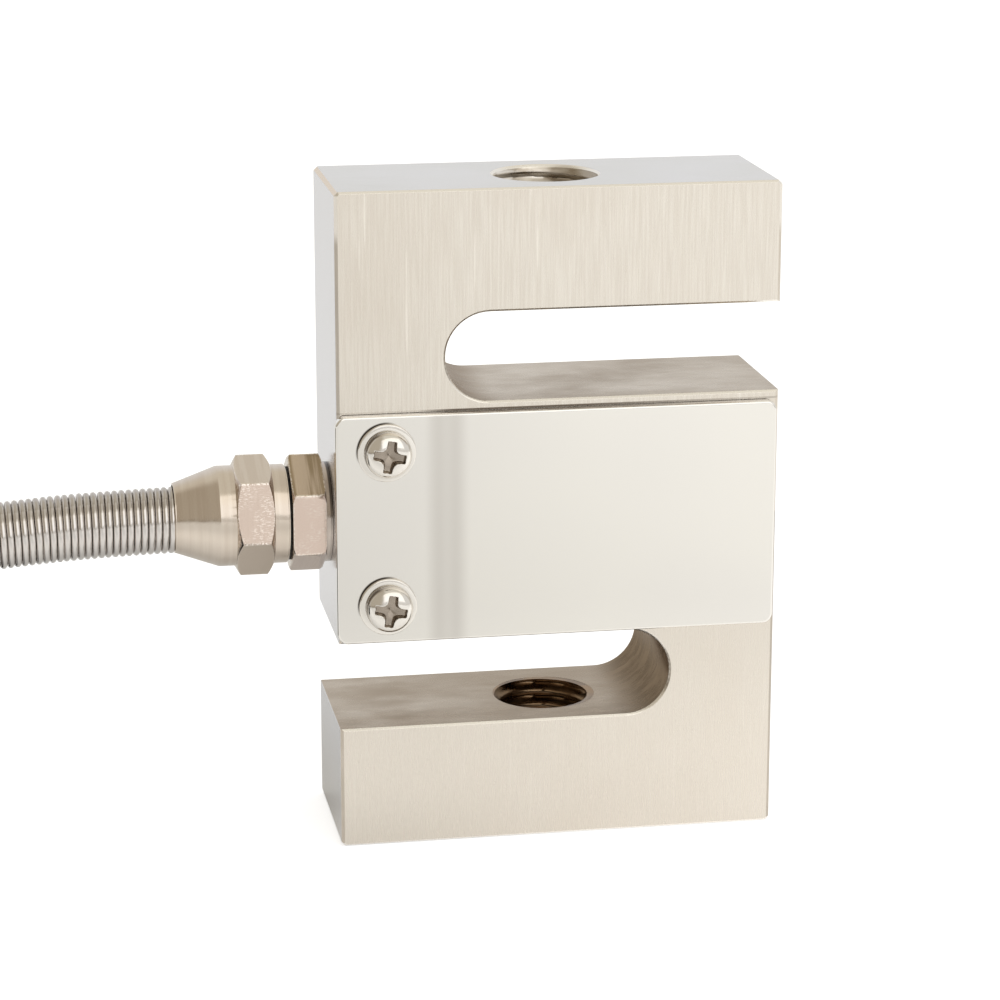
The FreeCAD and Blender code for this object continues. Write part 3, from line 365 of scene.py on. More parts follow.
def gland_material(name, turn, ends, front, over, under):
    """Nickel plated brass: turned lines round the axis, flats painted lighter and darker by the way
    they face, scratches, and chipped edges with painted glints.

    The joint with the block carries painted shade, stronger towards the top. turn is the angle of a
    flat's middle in degrees, ends are the hexagon's ends along X, and front, over and under are the
    colours of its flats, painted lighter and darker by the way each faces; over has two, which mix
    in stripes.
    """
    n = Surface(name)
    turned = n.noise((12000.0, 260.0, 260.0))
    wide = n.noise((1500.0, 60.0, 60.0))
    dents = n.noise((2200.0, 1100.0, 1100.0), detail=4.0, roughness=0.7)
    nicks = n.noise((5200.0, 4200.0, 4200.0))
    hatch = n.noise((2200.0, 9000.0, 9000.0), detail=1.0)
    worn = n.noise((420.0, 300.0, 300.0))
    x, y, z = n.split(n.place)
    tilt = n.split(n.facing)[2]
    inset = n.math("MINIMUM", n.minus(x, ends[0]), n.minus(ends[1], x))
    flats = n.range(inset, 0.0, 0.1 * MM)
    front_flat = n.both(flats, n.fade(n.absolute(n.minus(tilt, FRONT_TILT)), 0.2, 0.35))
    # Painted light and shade: the upper, lower and front flats take their own colours by the way
    # they face.
    color = n.mix(n.range(wide, 0.35, 0.65), *BRASS_PLATING)
    color = n.mix(n.both(flats, n.range(tilt, 0.5, 0.8)), color,
                  n.mix(n.range(wide, 0.42, 0.58), *over))
    color = n.mix(n.both(flats, n.fade(tilt, -0.55, -0.35)), color, under)
    color = n.mix(front_flat, color, front)

    angle = n.math("ARCTAN2", n.minus(z, GLAND_HEIGHT), n.both(y, -1.0))
    corner = n.math("COSINE", n.both(n.minus(angle, math.radians(turn)), HEXAGON_SIDES))
    # Partly painted glints: pale specks along the rims stand for light caught by rounded edges; the
    # front flat's scratches are wear.
    rim = n.either(n.fade(corner, -1.0, -0.98), n.fade(inset, 0.05 * MM, 0.22 * MM))
    chips_and_glint = n.both(n.range(nicks, 0.42, 0.58), n.both(flats, n.both(rim, 0.85)))
    marks = n.either(n.range(hatch, 0.52, 0.66), n.range(nicks, 0.62, 0.70))
    scars = n.both(marks, n.both(n.both(front_flat, n.range(worn, 0.38, 0.58)), 0.42))
    color = n.mix(n.either(chips_and_glint, scars), color, BRASS_CHIPS_AND_GLINT)
    # Painted shade at the joint with the block, stronger towards the top.
    joint = n.both(n.range(x, *GLAND_JOINT), n.range(z, 36.0 * MM, 41.0 * MM, 0.25, 0.9))
    color = n.mix(joint, color, GLAND_JOINT_SHADE)
    return n.set(color=color, metallic=1.0, roughness=n.range(turned, 0.3, 0.7, 0.14, 0.22),
                 normal=n.bump(n.mix(0.4, turned, dents), 0.012 * MM, 0.4))


# ---- other materials ------------------------------------------------------------------------

LOWER_THREAD_DARK = ((0.16, 0.098, 0.053), (0.40, 0.275, 0.165))
THREAD_STAIN = (0.30, 0.24, 0.17)
SCREW_FACE = (0.80, 0.765, 0.715)
SCREW_RIM_LIGHT_AND_SHADE = ((0.13, 0.105, 0.085), (0.58, 0.54, 0.48))
SPRING_SIDE = (0.69, 0.655, 0.625)
SPRING_UPPER_SHADE = (0.50, 0.46, 0.42)


def hole_material():
    """Cut threads: darker in the lower arm; paler in the upper one, with bright streaks that are
    partly burnish and partly painted highlight.
    """
    n = Surface("cut_thread")
    stain = n.noise((300.0, 300.0, 900.0), detail=4.0)
    x, _, z = n.split(n.place)
    lower_dark = n.mix(n.range(stain, 0.3, 0.7), *LOWER_THREAD_DARK)
    bright = n.both(n.range(stain, 0.25, 0.65), n.range(x, -3.0 * MM, 6.0 * MM, 1.0, 0.3))
    upper_pale = n.mix(bright, THREAD_STAIN, BURNISH_AND_HIGHLIGHT)
    color = n.mix(n.range(z, 30.0 * MM, 55.0 * MM), lower_dark, upper_pale)
    return n.set(color=color, metallic=1.0, roughness=n.range(stain, 0.3, 0.7, 0.22, 0.4))


def grainy_metal(n, color, smooth, dull):
    """Finishes a metal whose roughness wanders between smooth and dull."""
    grain = n.noise(2500.0)
    return n.set(color=color, metallic=1.0, roughness=n.range(grain, 0.3, 0.7, smooth, dull),
                 normal=n.bump(grain, 0.003 * MM, 0.3))


def plain_metal(name, color, rough):
    """A bare metal of one colour."""
    return grainy_metal(Surface(name), color, rough * 0.75, rough * 1.25)


def screw_material():
    """Bright plating; the rims of the washers and heads carry painted shade on their left and
    painted light on their right.
    """
    n = Surface("bright_screw")
    nx, ny, _ = n.split(n.facing)
    # Painted shade on rims facing -X, painted light on rims facing +X.
    rim = n.mix(n.range(nx, -0.7, 0.3), *SCREW_RIM_LIGHT_AND_SHADE)
    color = n.mix(n.fade(n.absolute(ny), 0.2, 0.5), SCREW_FACE, rim)
    return grainy_metal(n, color, 0.10, 0.17)


def spring_material():
    """Spring wire with painted shade on its upper side."""
    n = Surface("spring_wire")
    upper = n.range(n.split(n.facing)[2], 0.5, 0.85)
    return grainy_metal(n, n.mix(upper, SPRING_SIDE, SPRING_UPPER_SHADE), 0.13, 0.21)


def plain_plastic(name, color, rough, grain_depth=0.01 * MM):
    """Plastic, rubber or film of one colour with a fine grain."""
    n = Surface(name)
    grain = n.noise(1800.0, detail=3.0)
    return n.set(color=color, roughness=n.range(grain, 0.3, 0.7, rough * 0.85, rough * 1.15),
                 normal=n.bump(grain, grain_depth, 0.4))


BODY = body_material()
COVER = plate_material()
# front, over and under are painted light and shade of the flats; the gland's upper flats carry
# painted shade.
NUT = gland_material("nut_plating", 15.0, (-36.3 * MM, -32.0 * MM), front=(0.52, 0.425, 0.36),
                     over=BRASS_PLATING, under=(0.65, 0.56, 0.47))
GLAND = gland_material("gland_plating", 0.0, (-30.0 * MM, -26.15 * MM), front=(0.74, 0.60, 0.52),
                       over=BRASS_TOP_SHADE, under=(0.57, 0.465, 0.40))
HOLE = hole_material()
SCREW = screw_material()
# Painted shade for the deep faces of the screw recesses.
RECESS_PAINTED_SHADE = plain_metal("screw_recess_shade", (0.36, 0.31, 0.26), 0.26)
SPRING = spring_material()
BRASS = plain_metal("plain_brass", (0.72, 0.5, 0.2), 0.3)
COPPER = plain_metal("enamelled_copper", (0.62, 0.25, 0.12), 0.3)
RUBBER = plain_plastic("black_rubber", (0.012, 0.012, 0.012), 0.55)
SHEATH = plain_plastic("cable_sheath", (0.016, 0.016, 0.018), 0.42, 0.02 * MM)
NYLON = plain_plastic("black_nylon", (0.02, 0.02, 0.02), 0.4)
FILM = plain_plastic("gauge_film", (0.5, 0.22, 0.03), 0.35)
BOARD = plain_plastic("board_laminate", (0.012, 0.11, 0.035), 0.35)
CORES = {
    "red": plain_plastic("core_red", (0.45, 0.01, 0.008), 0.38),
    "black": plain_plastic("core_black", (0.012, 0.012, 0.012), 0.38),
    "green": plain_plastic("core_green", (0.01, 0.17, 0.03), 0.38),
    "white": plain_plastic("core_white", (0.72, 0.72, 0.7), 0.38),
}


# ---- CAD nodes ------------------------------------------------------------------------------

EDGE_ROUND = 0.07 * MM
EDGE_ANGLE = math.radians(13.0)
WELD_REACH = 0.001 * MM


def dress(node, material, edge=0.0):
    """Gives a CAD node its material and, where edge is set, small rounds on its sharp edges."""
    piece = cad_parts[node]
    piece.data.materials.clear()
    piece.data.materials.append(material)
    if edge:
        weld = piece.modifiers.new("weld", "WELD")
        weld.merge_threshold = WELD_REACH
        bevel = piece.modifiers.new("edge", "BEVEL")
        bevel.width = edge
        bevel.segments = 2
        bevel.limit_method = "ANGLE"
        bevel.angle_limit = EDGE_ANGLE
        weighted = piece.modifiers.new("shading", "WEIGHTED_NORMAL")
        weighted.weight = 100


dress("s_beam_body", BODY, EDGE_ROUND)
for node in ("front_cover_plate", "back_cover_plate"):
    dress(node, COVER)
dress("gland_body", GLAND, EDGE_ROUND)
dress("gland_nut", NUT, EDGE_ROUND)
for node in ("front_cover_gasket", "back_cover_gasket", "gland_grommet"):
    dress(node, RUBBER)
for index in range(1, 5):
    dress(f"strain_gauge_{index}", FILM)
dress("bridge_board", BOARD)
dress("gauge_leads", COPPER)
dress("gland_thrust_washer", BRASS)
dress("coil_ties", NYLON)
for colour, material in CORES.items():
    dress(f"inner_core_{colour}", material)
    dress(f"end_core_{colour}", material)


# ---- cable ----------------------------------------------------------------------------------

CABLE_DIAMETER = 5.0 * MM
# In millimetres: from the board through the gland, down in a loose curve to the coil's top.
CABLE_ROUTE = [
    (-15.5, 0.0, 37.6), (-48.0, 0.0, 37.6), (-68.0, -1.0, 36.3), (-112.9, -3.3, 33.3),
    (-129.5, 3.1, 32.2), (-140.1, 17.5, 31.2), (-142.0, 35.5, 30.4), (-133.7, 51.8, 29.6),
    (-117.9, 61.7, 28.6), (-99.4, 62.4, 26.2),
]
# In millimetres: the straight end past the coil.
CABLE_TAIL = [(-142.45, 33.13, 3.55), (-141.65, 49.13, 3.5)]
COIL_CENTRE = Vector((-107.5, 27.5, 0.0)) * MM
# Radius of each column and height of each layer of turns, in millimetres.
COIL_COLUMNS = (35.0, 30.0, 25.0)
COIL_LAYERS = (23.5, 18.5, 13.5, 8.5, 3.5)
# (column, layer) of each turn: it starts on top outside and ends at the bottom outside.
COIL_TURNS = [
    (0, 0), (1, 0), (2, 0), (2, 1), (1, 1), (0, 1), (0, 2), (1, 2), (2, 2),
    (2, 3), (2, 4), (1, 4), (1, 3), (0, 3), (0, 4),
]
# Degrees; the cable runs clockwise seen from above.
COIL_START = -313.0
COIL_END = -180.0 - 360.0 * len(COIL_TURNS)
# The share of a turn in which it crosses from the column and layer before it.
COIL_CROSSING = 0.18
# A point closer to the coil's end than this share of a step is left to the tail.
COIL_END_GAP = 0.4
POINTS_PER_TURN = 16
CABLE_ORDER = 3
CABLE_RESOLUTION = 6
LINE_RESOLUTION = 12


def coil_points():
    """The turns in their order; each crosses to its own column and layer in its first part."""
    step = 360.0 / POINTS_PER_TURN
    points = []
    angle = COIL_START
    while angle > COIL_END + COIL_END_GAP * step:
        turns, share = divmod((COIL_START - angle) / 360.0, 1.0)
        column, layer = COIL_TURNS[int(turns)]
        last_column, last_layer = COIL_TURNS[max(int(turns) - 1, 0)]
        across = min(share / COIL_CROSSING, 1.0)
        radius = COIL_COLUMNS[last_column] * (1.0 - across) + COIL_COLUMNS[column] * across
        height = COIL_LAYERS[last_layer] * (1.0 - across) + COIL_LAYERS[layer] * across
        turn = math.radians(angle)
        point = Vector((radius * math.cos(turn), radius * math.sin(turn), height))
        points.append(COIL_CENTRE + point * MM)
        angle -= step
    return points


def cable_data(name, points, resolution):
    """A curve with one smooth NURBS spline through the control points."""
    data = bpy.data.curves.new(name, "CURVE")
    data.dimensions = "3D"
    spline = data.splines.new("NURBS")
    spline.points.add(len(points) - 1)
    for point, place in zip(spline.points, points):
        point.co = (*place, 1.0)
    spline.order_u = CABLE_ORDER
    spline.use_endpoint_u = True
    data.resolution_u = resolution
    return data


def smooth_line(points):
    """The points of the cable's smooth line, read from its spline with no thickness."""
    data = cable_data("bare_line", points, LINE_RESOLUTION)
    holder = bpy.data.objects.new("bare_line", data)
    mesh = bpy.data.meshes.new_from_object(holder)
    line = [vertex.co.copy() for vertex in mesh.vertices]
    bpy.data.objects.remove(holder)
    bpy.data.curves.remove(data)
    bpy.data.meshes.remove(mesh)
    return line


def seat(piece, slot, *nodes):
    """Links a new piece, which rides on the one body and may stand for CAD nodes."""
    bpy.context.collection.objects.link(piece)
    if nodes:
        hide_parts(*nodes)
    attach(piece, "root")
    return piece


cable_points = [Vector(point) * MM for point in CABLE_ROUTE]
cable_points += coil_points()
cable_points += [Vector(point) * MM for point in CABLE_TAIL]
cable_curve = cable_data("cable_run", cable_points, CABLE_RESOLUTION)
cable_curve.bevel_depth = CABLE_DIAMETER / 2
cable_curve.bevel_resolution = 6
cable_curve.use_fill_caps = True
cable_curve.materials.append(SHEATH)
cable = seat(bpy.data.objects.new("cable_run", cable_curve), "cable_sheath", "cable", "cable_coil")
cable_line = smooth_line(cable_points)


# ---- spring guard ---------------------------------------------------------------------------

# How far the first coil stands from X = 0, towards -X.
SPRING_START = 39.45 * MM
SPRING_LENGTH = 60.0 * MM
SPRING_PITCH = 0.8 * MM
# A little under half the pitch, so that neighbouring coils stay apart.
SPRING_WIRE_RADIUS = 0.49 * SPRING_PITCH
SPRING_RADIUS = 3.43 * MM
# The first coils sit inside the nut and are narrower.
SPRING_SEAT_RADIUS = 3.28 * MM
SPRING_SEAT_DEPTH = 3.65 * MM
POINTS_PER_COIL = 20


def walk(line, distances):
    """Places and directions along a line at rising distances from its start."""
    places = []
    index = 0
    done = 0.0
    for distance in distances:
        step = line[index + 1] - line[index]
        while done + step.length < distance:
            done += step.length
            index += 1
            step = line[index + 1] - line[index]
        way = step.normalized()
        places.append((line[index] + way * (distance - done), way))
    return places


def make_spring():
    """A close wound spring round the cable."""
    coils = SPRING_LENGTH / SPRING_PITCH - 1.0
    count = int(coils * POINTS_PER_COIL)
    begin = cable_line[0].x + SPRING_START - 0.5 * SPRING_PITCH
    distances = [begin + SPRING_PITCH * index / POINTS_PER_COIL for index in range(count)]
    data = bpy.data.curves.new("spring_coils", "CURVE")
    data.dimensions = "3D"
    wire = data.splines.new("POLY")
    wire.points.add(count - 1)
    for index, (place, way) in enumerate(walk(cable_line, distances)):
        angle = 2 * math.pi * index / POINTS_PER_COIL
        across = way.cross(Vector((0.0, 0.0, 1.0))).normalized()
        upright = across.cross(way)
        seated = distances[index] - begin < SPRING_SEAT_DEPTH
        radius = SPRING_SEAT_RADIUS if seated else SPRING_RADIUS
        point = place + (across * math.cos(angle) + upright * math.sin(angle)) * radius
        wire.points[index].co = (*point, 1.0)
    data.bevel_depth = SPRING_WIRE_RADIUS
    data.bevel_resolution = 3
    data.use_fill_caps = True
    data.materials.append(SPRING)
    return seat(bpy.data.objects.new("spring_coils", data), "spring_steel", "spring_guard")


spring = make_spring()


# ---- helpers for round pieces ---------------------------------------------------------------

SHARP_ANGLE = math.radians(50.0)
RING_SIDES = 96


def turned_rings(rings, sides, joined, adjust=None):
    """Points and faces of rings of (radius, height) round Z, closed by end caps or on itself.

    adjust, where given, moves each point; it is handed the point and its angle round Z.
    """
    points = []
    for radius, height in rings:
        for index in range(sides):
            angle = 2 * math.pi * index / sides
            point = Vector((radius * math.cos(angle), radius * math.sin(angle), height))
            points.append(adjust(point, angle) if adjust else point)
    faces = []
    count = len(rings)
    for ring in range(count if joined else count - 1):
        low = ring * sides
        high = (ring + 1) % count * sides
        for index in range(sides):
            after = (index + 1) % sides
            faces.append((low + index, low + after, high + after, high + index))
    if not joined:
        faces.append(tuple(range(sides))[::-1])
        faces.append(tuple(range((count - 1) * sides, count * sides)))
    return points, faces


def solid_mesh(name, parts, material):
    """One mesh of several (points, faces, place) parts, smooth but for its sharp edges."""
    points = []
    faces = []
    for part_points, part_faces, place in parts:
        start = len(points)
        points += [place @ point for point in part_points]
        faces += [tuple(start + index for index in face) for face in part_faces]
    mesh = bpy.data.meshes.new(name)
    mesh.from_pydata(points, [], faces)
    mesh.validate()
    mesh.shade_smooth()
    mesh.set_sharp_from_angle(angle=SHARP_ANGLE)
    mesh.materials.append(material)
    return bpy.data.objects.new(name, mesh)


# ---- screws and washers ---------------------------------------------------------------------

HEAD_SIDES = 160
HEAD_RADIUS = 2.65 * MM
HEAD_RIM = 0.45 * MM
HEAD_HEIGHT = 1.9 * MM
HEAD_CHAMFER = 0.1 * MM
# The dome's outline is a curve of these two powers; its rings are closer together at the rim.
DOME_POWERS = (2.7, 2.2)
DOME_RINGS = 44
DOME_CROWDING = 1.15
DOME_TIP = 0.012 * MM
SHANK_RADIUS = 1.45 * MM
SHANK_LENGTH = 6.0 * MM
SHANK_CHAMFER = 0.4 * MM
SHANK_TIP = 0.1 * MM

RECESS_HALF_SPAN = 1.75 * MM
RECESS_HALF_ARM = 0.42 * MM
RECESS_WALL = 0.2 * MM
RECESS_BLEND = 0.34 * MM
RECESS_TURN = math.radians(10.0)
RECESS_DEPTH = 1.25 * MM
# How much shallower the recess is for each unit away from the middle.
RECESS_TAPER = 0.35
# Only the dome above this height is pressed in.
RECESS_FROM = HEAD_RIM + 0.3 * MM
# Faces deeper than this share take the recess's darker material, which is painted shade.
RECESS_SHADED = 0.45

WASHER_THICKNESS = 0.5 * MM
WASHER_BORE_RADIUS = 1.65 * MM
WASHER_CHAMFER = 0.1 * MM
WASHER_ROUND = 0.14 * MM
# How far the middle of the round lies inside the washer's corner.
WASHER_ROUND_MIDDLE = (0.05 * MM, 0.04 * MM)


def screw_places(depth):
    """Where the four screws stand: outwards is +Z of each, and depth is from the washer's face."""
    places = []
    for height in SCREW_HEIGHTS:
        front = Matrix(((1, 0, 0), (0, 0, -1), (0, 1, 0))).to_4x4()
        back = Matrix(((-1, 0, 0), (0, 0, 1), (0, 1, 0))).to_4x4()
        places.append(Matrix.Translation((SCREW_X, washer_low.y + depth, height)) @ front)
        places.append(Matrix.Translation((SCREW_X, washer_high.y - depth, height)) @ back)
    return places


def screw_rings():
    """A pan head screw's outline from the end of its shank to the tip of its dome."""
    rings = [
        (SHANK_TIP, -SHANK_LENGTH), (SHANK_RADIUS - SHANK_CHAMFER, -SHANK_LENGTH),
        (SHANK_RADIUS, SHANK_CHAMFER - SHANK_LENGTH), (SHANK_RADIUS, 0.0),
        (HEAD_RADIUS - HEAD_CHAMFER, 0.0), (HEAD_RADIUS, HEAD_CHAMFER), (HEAD_RADIUS, HEAD_RIM),
    ]
    side_power, top_power = DOME_POWERS
    for step in range(1, DOME_RINGS):
        radius = HEAD_RADIUS * (1.0 - (step / DOME_RINGS) ** DOME_CROWDING)
        rise = (1.0 - (radius / HEAD_RADIUS) ** side_power) ** (1 / top_power)
        rings.append((radius, HEAD_RIM + (HEAD_HEIGHT - HEAD_RIM) * rise))
    rings.append((DOME_TIP, HEAD_HEIGHT))
    return rings


def recess_share(x, y):
    """How deep the cross recess is at a place on the head, from 0 outside to 1 at its floor."""
    along = x * math.cos(RECESS_TURN) - y * math.sin(RECESS_TURN)
    across = x * math.sin(RECESS_TURN) + y * math.cos(RECESS_TURN)
    level = max(abs(along) - RECESS_HALF_SPAN, abs(across) - RECESS_HALF_ARM)
    plumb = max(abs(across) - RECESS_HALF_SPAN, abs(along) - RECESS_HALF_ARM)
    nearness = math.exp(-level / RECESS_BLEND) + math.exp(-plumb / RECESS_BLEND)
    edge = -RECESS_BLEND * math.log(nearness)
    share = min(max(0.5 - edge / RECESS_WALL, 0.0), 1.0)
    return share * share * (3.0 - 2.0 * share)


def recess(point, angle):
    """Presses the cross recess into the top of the head."""
    if point.z < RECESS_FROM:
        return point
    deep = RECESS_DEPTH - RECESS_TAPER * math.hypot(point.x, point.y)
    return point - Vector((0.0, 0.0, recess_share(point.x, point.y) * deep))


def make_screws():
    """The four screws, with painted shade in their recesses through a darker material."""
    places = screw_places(0.0)
    points, faces = turned_rings(screw_rings(), HEAD_SIDES, False, recess)
    parts = [(points, faces, place) for place in places]
    piece = solid_mesh("pan_head_screws", parts, SCREW)
    piece.data.materials.append(RECESS_PAINTED_SHADE)
    middles = [sum((points[corner] for corner in face), Vector()) / len(face) for face in faces]
    for polygon, middle in zip(piece.data.polygons, middles * len(places)):
        if middle.z > 0.0 and recess_share(middle.x, middle.y) > RECESS_SHADED:
            polygon.material_index = 1
    seat(piece, "screw_steel", "cover_screws")


def make_washers():
    """The four washers: chamfered at the foot and in the bore, with a small round on top."""
    top = WASHER_THICKNESS
    round_in, round_down = WASHER_ROUND_MIDDLE
    rings = [
        (WASHER_BORE_RADIUS, 0.0), (WASHER_RADIUS - WASHER_CHAMFER, 0.0),
        (WASHER_RADIUS, WASHER_CHAMFER), (WASHER_RADIUS, top - WASHER_ROUND),
        (WASHER_RADIUS - round_in, top - round_down), (WASHER_RADIUS - WASHER_ROUND, top),
        (WASHER_BORE_RADIUS + WASHER_CHAMFER, top), (WASHER_BORE_RADIUS, top - WASHER_CHAMFER),
    ]
    points, faces = turned_rings(rings, RING_SIDES, True)
    loose = Matrix.Translation(WASHER_SHIFT)
    parts = [(points, faces, place @ loose) for place in screw_places(WASHER_THICKNESS)]
    seat(solid_mesh("flat_washers", parts, SCREW), "screw_steel", "cover_washers")


make_screws()
make_washers()


# ---- lip and seal between the hexagons ------------------------------------------------------

SEAL_RADIUS = 5.4 * MM
SEAL_BORE_RADIUS = 4.1 * MM
LIP_RADIUS = 5.5 * MM
LIP_WIDTH = 0.14 * MM
# The seal's bulging outside: how far in each point lies, and its share of the width.
SEAL_BULGE = [
    (0.2 * MM, 0.0), (0.05 * MM, 0.12), (0.0, 0.5), (0.05 * MM, 0.88), (0.2 * MM, 1.0),
]


def make_lip_and_seal():
    """The thin metal lip of the nut's skirt, and the rubber ring beside it."""
    seal_low, seal_high = (Vector(corner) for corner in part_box("gland_o_ring"))
    turn = Matrix.Rotation(math.pi / 2, 4, "Y")
    lip_place = Matrix.Translation((seal_low.x, 0.0, GLAND_HEIGHT)) @ turn
    lip_rings = [
        (SEAL_BORE_RADIUS, 0.0), (LIP_RADIUS, 0.0),
        (LIP_RADIUS, LIP_WIDTH), (SEAL_BORE_RADIUS, LIP_WIDTH),
    ]
    lip_parts = [(*turned_rings(lip_rings, RING_SIDES, True), lip_place)]
    seat(solid_mesh("skirt_lip", lip_parts, NUT), "gland_nickel")

    width = seal_high.x - seal_low.x - LIP_WIDTH
    seal_place = Matrix.Translation((LIP_WIDTH, 0.0, 0.0)) @ lip_place
    seal_rings = [
        (SEAL_BORE_RADIUS, 0.0),
        *((SEAL_RADIUS - inset, share * width) for inset, share in SEAL_BULGE),
        (SEAL_BORE_RADIUS, width),
    ]
    seal_parts = [(*turned_rings(seal_rings, RING_SIDES, True), seal_place)]
    seat(solid_mesh("seal_ring", seal_parts, RUBBER), "seal_rubber", "gland_o_ring")


make_lip_and_seal()


# ---- load threads ---------------------------------------------------------------------------

THREAD_RADIUS = 6.0 * MM
THREAD_DEPTH = 0.9 * MM
THREAD_PITCH = 1.75 * MM
ROWS_PER_PITCH = 10
# A ridge's outline across one pitch, as shares of its depth: a triangle with a flat tip and root.
RIDGE_SLOPE = 1.35
RIDGE_ROOT = 0.12
RIDGE_LEAST = 0.02
RIDGE_FADE = 0.7 * THREAD_PITCH
SLEEVE_THICKNESS = 0.05 * MM
# A sleeve's inside stands at least this far off the bore, and its end this far from the slot.
SLEEVE_GAP = 0.02 * MM
# How thick the two arms are at the holes.
LOWER_ARM = 14.2 * MM
UPPER_ARM = 13.9 * MM
COUNTERSINK = 0.3 * MM
body_low, body_high = (Vector(corner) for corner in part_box("s_beam_body"))


def thread_sleeve(name, mouth, end):
    """The ridges of a cut thread as a thin sleeve in its bore; they fade in from its mouth."""
    low, high = sorted((mouth, end))
    rows = round((high - low) / THREAD_PITCH * ROWS_PER_PITCH)
    heights = [low + (high - low) * row / rows for row in range(rows + 1)]

    def ridge(point, angle):
        """Moves a point of the sleeve's inside to the thread's ridge or root."""
        radius = math.hypot(point.x, point.y)
        if radius > THREAD_RADIUS + SLEEVE_THICKNESS / 2:
            return point
        turns = point.z / THREAD_PITCH - angle / (2 * math.pi)
        wave = abs(2.0 * (turns - math.floor(turns)) - 1.0)
        depth = min(max(RIDGE_SLOPE * wave - RIDGE_ROOT, RIDGE_LEAST), 1.0) * THREAD_DEPTH
        fade = min(abs(point.z - mouth) / RIDGE_FADE, 1.0)
        scale = (THREAD_RADIUS - max(depth * fade, SLEEVE_GAP)) / radius
        return Vector((point.x * scale, point.y * scale, point.z))

    outside = THREAD_RADIUS + SLEEVE_THICKNESS
    rings = [(THREAD_RADIUS, height) for height in heights] + [(outside, high), (outside, low)]
    points, faces = turned_rings(rings[::-1], RING_SIDES, True, ridge)
    seat(solid_mesh(name, [(points, faces, Matrix())], HOLE), "body_steel")


thread_sleeve("lower_thread_ridges",
              body_low.z + COUNTERSINK, body_low.z + LOWER_ARM - SLEEVE_GAP)
thread_sleeve("upper_thread_ridges",
              body_high.z - COUNTERSINK, body_high.z - UPPER_ARM + SLEEVE_GAP)


# ---- stage, light and world -----------------------------------------------------------------

FRONT_WALL = (0.80, 0.79, 0.77)
FRONT_SKIRTING = (0.74, 0.72, 0.69)
BACK_WALL = (0.84, 0.838, 0.833)
CEILING = (0.77, 0.735, 0.65)
DIM_WALL = (0.50, 0.45, 0.37)
DIM_SKIRTING = (0.30, 0.26, 0.21)
# Heights on the unit sphere of directions.
SKIRTING_TOP = (0.04, 0.11)
CEILING_FROM = (0.45, 0.85)

FLOOR_COLOR = (0.84, 0.86, 0.89)
FLOOR_GLOW = 0.6
FLOOR_HALF = 4.0
FLOOR_LEVEL = -0.1 * MM
SHADE_MIDDLE = Vector((-0.045, 0.03, 0.0))
SHADE_REACH = (0.02, 0.07)

KEY_PLACE = Vector((0.33, -0.9, 0.75))
KEY_TARGET = Vector((0.0, 0.0, 0.03))
KEY_SIZE = (1.6, 1.2)
KEY_WATTS = 3.4


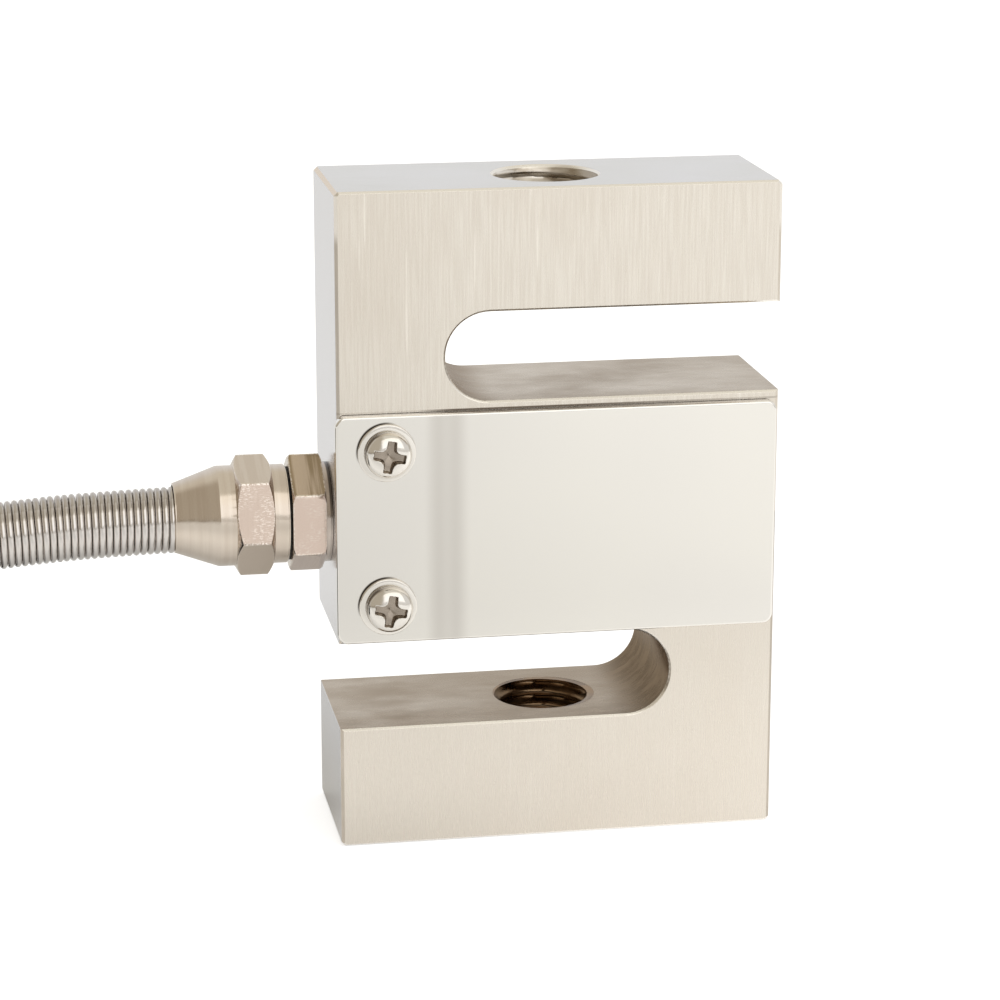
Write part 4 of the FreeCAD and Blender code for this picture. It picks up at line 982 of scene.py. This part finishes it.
def make_world():
    """A white studio: a bright wall in front to the right, a dim one to the left, pale behind."""
    world = bpy.data.worlds.new("studio")
    bpy.context.scene.world = world
    world.use_nodes = True
    n = Nodes(world.node_tree)
    x, y, z = n.split(n.add("ShaderNodeTexCoord").outputs["Generated"])
    left = n.both(n.fade(x, -0.38, -0.12), n.fade(y, 0.1, 0.5))
    behind = n.range(y, -0.15, 0.5)
    upper = n.mix(n.range(z, *CEILING_FROM), n.mix(behind, FRONT_WALL, BACK_WALL), CEILING)
    skirting = n.mix(behind, FRONT_SKIRTING, BACK_WALL)
    walls = n.mix(n.range(z, *SKIRTING_TOP), skirting, upper)
    dim = n.mix(n.range(z, *SKIRTING_TOP), DIM_SKIRTING, DIM_WALL)
    room = n.mix(n.range(z, -0.03, 0.0), WHITE, n.mix(left, walls, dim))
    camera = n.add("ShaderNodeLightPath").outputs["Is Camera Ray"]
    n.link(n.mix(camera, room, WHITE), n.tree.nodes["Background"].inputs["Color"])


def floor_material():
    """Reads as white to the camera and keeps shadows; metal sees it dimmer beside the block."""
    n = Surface("pale_floor")
    path = n.add("ShaderNodeLightPath")
    mirrored = n.either(path.outputs["Is Glossy Ray"], path.outputs["Is Transmission Ray"])
    distance = n.add("ShaderNodeVectorMath", operation="DISTANCE")
    n.link(n.place, distance.inputs[0])
    distance.inputs[1].default_value = SHADE_MIDDLE
    # Painted shade beside the block and painted light in the floor's glow, both seen only in
    # reflections.
    open_floor = n.range(distance.outputs["Value"], *SHADE_REACH, 0.3, 1.0)
    x, y, _ = n.split(n.place)
    near = n.both(n.range(y, -0.11, -0.03, 0.0, 0.24), n.fade(y, -0.005, 0.01))
    fill = n.plus(n.range(x, -0.03, 0.08, 0.16, 0.37), near)
    strength = n.plus(n.both(path.outputs["Is Camera Ray"], FLOOR_GLOW),
                      n.both(mirrored, n.both(open_floor, fill)))
    n.link(WHITE, n.shader.inputs["Emission Color"])
    n.link(strength, n.shader.inputs["Emission Strength"])
    return n.set(color=FLOOR_COLOR, roughness=0.9, specular=0.0)


def make_floor():
    """One large square just under the block."""
    corners = [(x * FLOOR_HALF, y * FLOOR_HALF, FLOOR_LEVEL)
               for x, y in ((-1, -1), (1, -1), (1, 1), (-1, 1))]
    mesh = bpy.data.meshes.new("floor")
    mesh.from_pydata(corners, [], [(0, 1, 2, 3)])
    mesh.materials.append(floor_material())
    piece = bpy.data.objects.new("floor", mesh)
    bpy.context.collection.objects.link(piece)


def make_key_light():
    """One large soft lamp from the front right."""
    data = bpy.data.lights.new("key", "AREA")
    data.shape = "RECTANGLE"
    data.size, data.size_y = KEY_SIZE
    data.energy = KEY_WATTS
    lamp = bpy.data.objects.new("key", data)
    bpy.context.collection.objects.link(lamp)
    lamp.location = KEY_PLACE
    lamp.rotation_euler = (KEY_TARGET - KEY_PLACE).to_track_quat("-Z", "Y").to_euler()


make_world()
make_floor()
make_key_light()
bpy.context.scene.view_settings.view_transform = "Standard"
